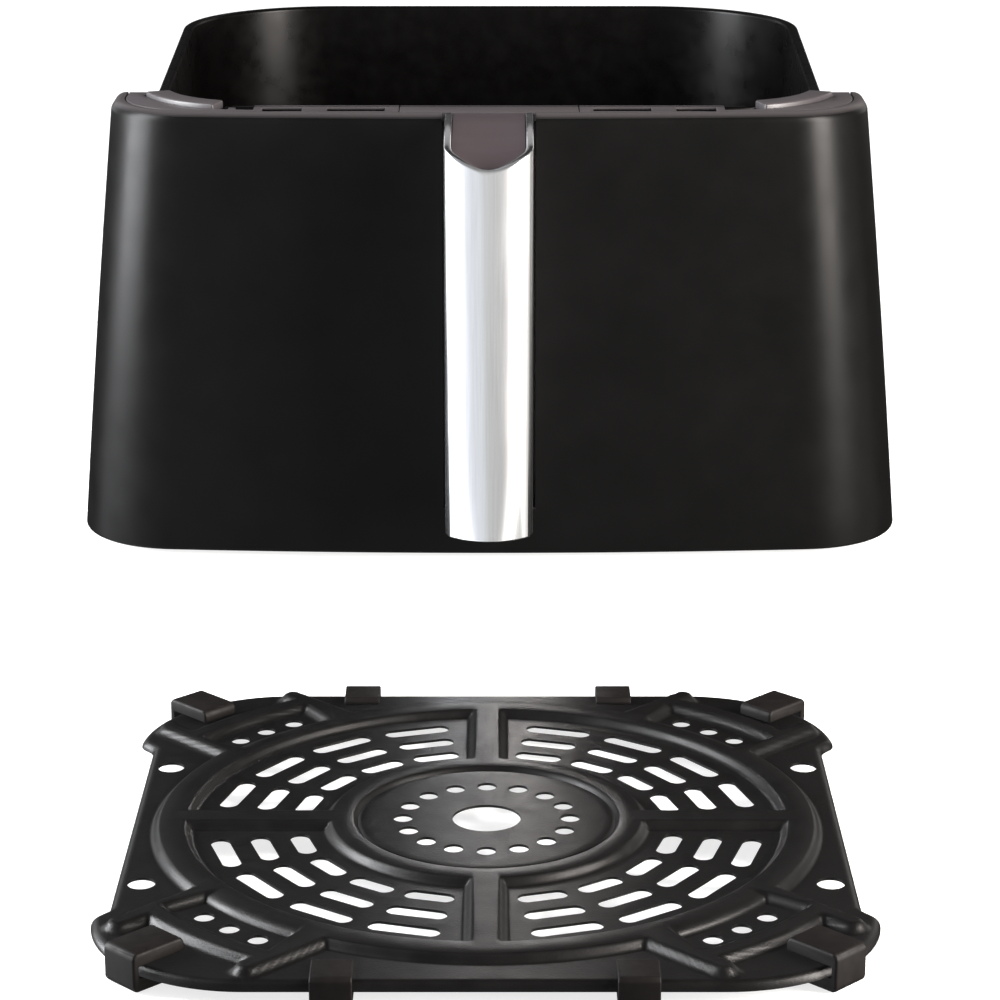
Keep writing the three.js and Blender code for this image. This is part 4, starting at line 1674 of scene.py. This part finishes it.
@dataclass(frozen=True)
class Softbox:
    """A rectangular light that faces a point.

    Args:
        name: The light's name.
        place: Where it hangs, in metres.
        target: What it faces, in metres.
        size: Its width and height, in metres.
        power: Its power, in watts.
        tint: Its colour.
    """

    name: str
    place: Point
    target: Point
    size: tuple[float, float]
    power: float
    tint: Point

    def hang(self) -> None:
        """Hangs the light."""
        data = bpy.data.lights.new(self.name, "AREA")
        data.shape = "RECTANGLE"
        data.size, data.size_y = self.size
        data.energy = self.power
        data.color = self.tint
        made = bpy.data.objects.new(self.name, data)
        made.location = self.place
        towards = Vector(self.target) - Vector(self.place)
        made.rotation_euler = towards.to_track_quat("-Z", "Y").to_euler()
        bpy.context.scene.collection.objects.link(made)


@dataclass
class Studio:
    """The camera, the floor and the lights."""

    lens: float = 118.8
    camera_height: float = 387.7
    camera_distance: float = 1193.5
    camera_side: float = 4.0
    pitch: float = 16.97
    floor_radius: float = 6000.0
    backdrop: float = 3.0
    ceiling_from: float = 0.35
    ceiling_to: float = 0.75
    ceiling_light: float = 0.3
    walls: tuple[tuple[float, Point], ...] = (
        (-180, (0.01, 0.01, 0.01)),
        (-118, (0.01, 0.01, 0.01)),
        (-108, (0.95, 0.97, 1.0)),
        (-64, (0.95, 0.97, 1.0)),
        (-50, (0.42, 0.43, 0.45)),
        (-30, (0.3, 0.31, 0.325)),
        (-14, (0.32, 0.33, 0.34)),
        (-4, (0.24, 0.24, 0.235)),
        (36, (0.19, 0.19, 0.186)),
        (52, (0.9, 0.85, 0.8)),
        (68, (0.9, 0.85, 0.8)),
        (78, (0.32, 0.315, 0.3)),
        (100, (0.3, 0.295, 0.28)),
        (112, (0.01, 0.01, 0.01)),
        (180, (0.01, 0.01, 0.01)),
    )
    softboxes: tuple[Softbox, ...] = (
        Softbox("left_strip", (-0.8, -0.24, 0.42), (0, -0.13, 0.42), (0.42, 0.84), 55, (0.97, 0.98, 1.0)),
        Softbox("right_strip", (0.77, -0.64, 0.42), (0, -0.13, 0.42), (0.32, 0.84), 70, (1.0, 0.94, 0.89)),
        Softbox("rear_top", (0, 1.1, 1.1), (0, -0.15, 0), (1.7, 0.8), 1.8, (1.0, 0.97, 0.97)),
        Softbox("rear_left", (-1.1, 1.2, 0.5), (0, 0, 0.1), (0.9, 0.9), 4, (0.97, 0.98, 1.0)),
        Softbox("rear_right", (1.1, 1.2, 0.5), (0, 0, 0.1), (0.9, 0.9), 4, (1.0, 0.96, 0.93)),
    )

    def camera(self) -> None:
        """Puts the camera in front of the handle, a little above it."""
        front = node_box("front_panel")[0].y
        lens = bpy.data.cameras.new("camera")
        lens.lens = self.lens
        lens.sensor_width = 36
        lens.clip_start, lens.clip_end = 0.01, 100
        made = bpy.data.objects.new("camera", lens)
        made.location = Vector((self.camera_side, front - self.camera_distance, self.camera_height)) * MM
        made.rotation_euler = (math.radians(90 - self.pitch), 0, 0)
        bpy.context.scene.collection.objects.link(made)
        bpy.context.scene.camera = made

    def floor(self) -> None:
        """Lays a pale round floor under the object."""
        rim = arc(0, 0, self.floor_radius, 0, 360, 96)[:-1]
        made = mesh_object("studio_floor", [(x, y, -0.2) for x, y in rim], [tuple(range(len(rim)))])
        made.data.materials.append(Paper().build())
        made.visible_glossy = False

    def world(self) -> None:
        """A white backdrop whose light changes round the object: pale in front, dark behind."""
        world = bpy.data.worlds.new("studio")
        world.use_nodes = True
        bpy.context.scene.world = world
        nodes, links = world.node_tree.nodes, world.node_tree.links
        background = nodes["Background"]
        place = nodes.new("ShaderNodeTexCoord")
        split = nodes.new("ShaderNodeSeparateXYZ")
        links.new(place.outputs["Generated"], split.inputs[0])
        ahead = nodes.new("ShaderNodeMath")
        ahead.operation = "MULTIPLY"
        ahead.inputs[1].default_value = -1.0
        links.new(split.outputs[1], ahead.inputs[0])
        turn = nodes.new("ShaderNodeMath")
        turn.operation = "ARCTAN2"
        links.new(split.outputs[0], turn.inputs[0])
        links.new(ahead.outputs[0], turn.inputs[1])
        along = nodes.new("ShaderNodeMapRange")
        along.inputs["From Min"].default_value = -math.pi
        along.inputs["From Max"].default_value = math.pi
        links.new(turn.outputs[0], along.inputs[0])
        ramp = nodes.new("ShaderNodeValToRGB")
        links.new(along.outputs[0], ramp.inputs[0])
        stops = ramp.color_ramp.elements
        while len(stops) < len(self.walls):
            stops.new(0.5)
        for stop, (angle, colour) in zip(stops, self.walls):
            stop.position = 0.5 + angle / 360
            stop.color = (*colour, 1)
        ceiling = nodes.new("ShaderNodeMapRange")
        ceiling.inputs["From Min"].default_value = self.ceiling_from
        ceiling.inputs["From Max"].default_value = self.ceiling_to
        ceiling.inputs["To Min"].default_value = 1.0
        ceiling.inputs["To Max"].default_value = self.ceiling_light
        links.new(split.outputs[2], ceiling.inputs[0])
        dimmed = nodes.new("ShaderNodeVectorMath")
        dimmed.operation = "SCALE"
        links.new(ramp.outputs[0], dimmed.inputs[0])
        links.new(ceiling.outputs[0], dimmed.inputs["Scale"])
        path = nodes.new("ShaderNodeLightPath")
        seen = nodes.new("ShaderNodeMix")
        seen.data_type = "RGBA"
        links.new(path.outputs["Is Camera Ray"], seen.inputs["Factor"])
        links.new(dimmed.outputs[0], seen.inputs["A"])
        white = 1 / self.backdrop
        seen.inputs["B"].default_value = (white, white, white, 1)
        background.inputs["Strength"].default_value = self.backdrop
        world.cycles.sampling_method = "NONE"
        links.new(seen.outputs["Result"], background.inputs[0])

    def build(self) -> None:
        """Sets up the camera, floor, world and lights."""
        self.camera()
        self.floor()
        self.world()
        for softbox in self.softboxes:
            softbox.hang()


def main() -> None:
    """Builds every assembly in order."""
    logging.basicConfig(level=logging.INFO, format="%(name)s: %(message)s")
    bpy.context.scene.view_settings.view_transform = "Standard"
    Studio().build()
    for assembly in (FrontPanel(), Basket(), Handle(), Hardware(), CrisperPlate(), Bumpers()):
        assembly.build()


if __name__ == "__main__":
    main()
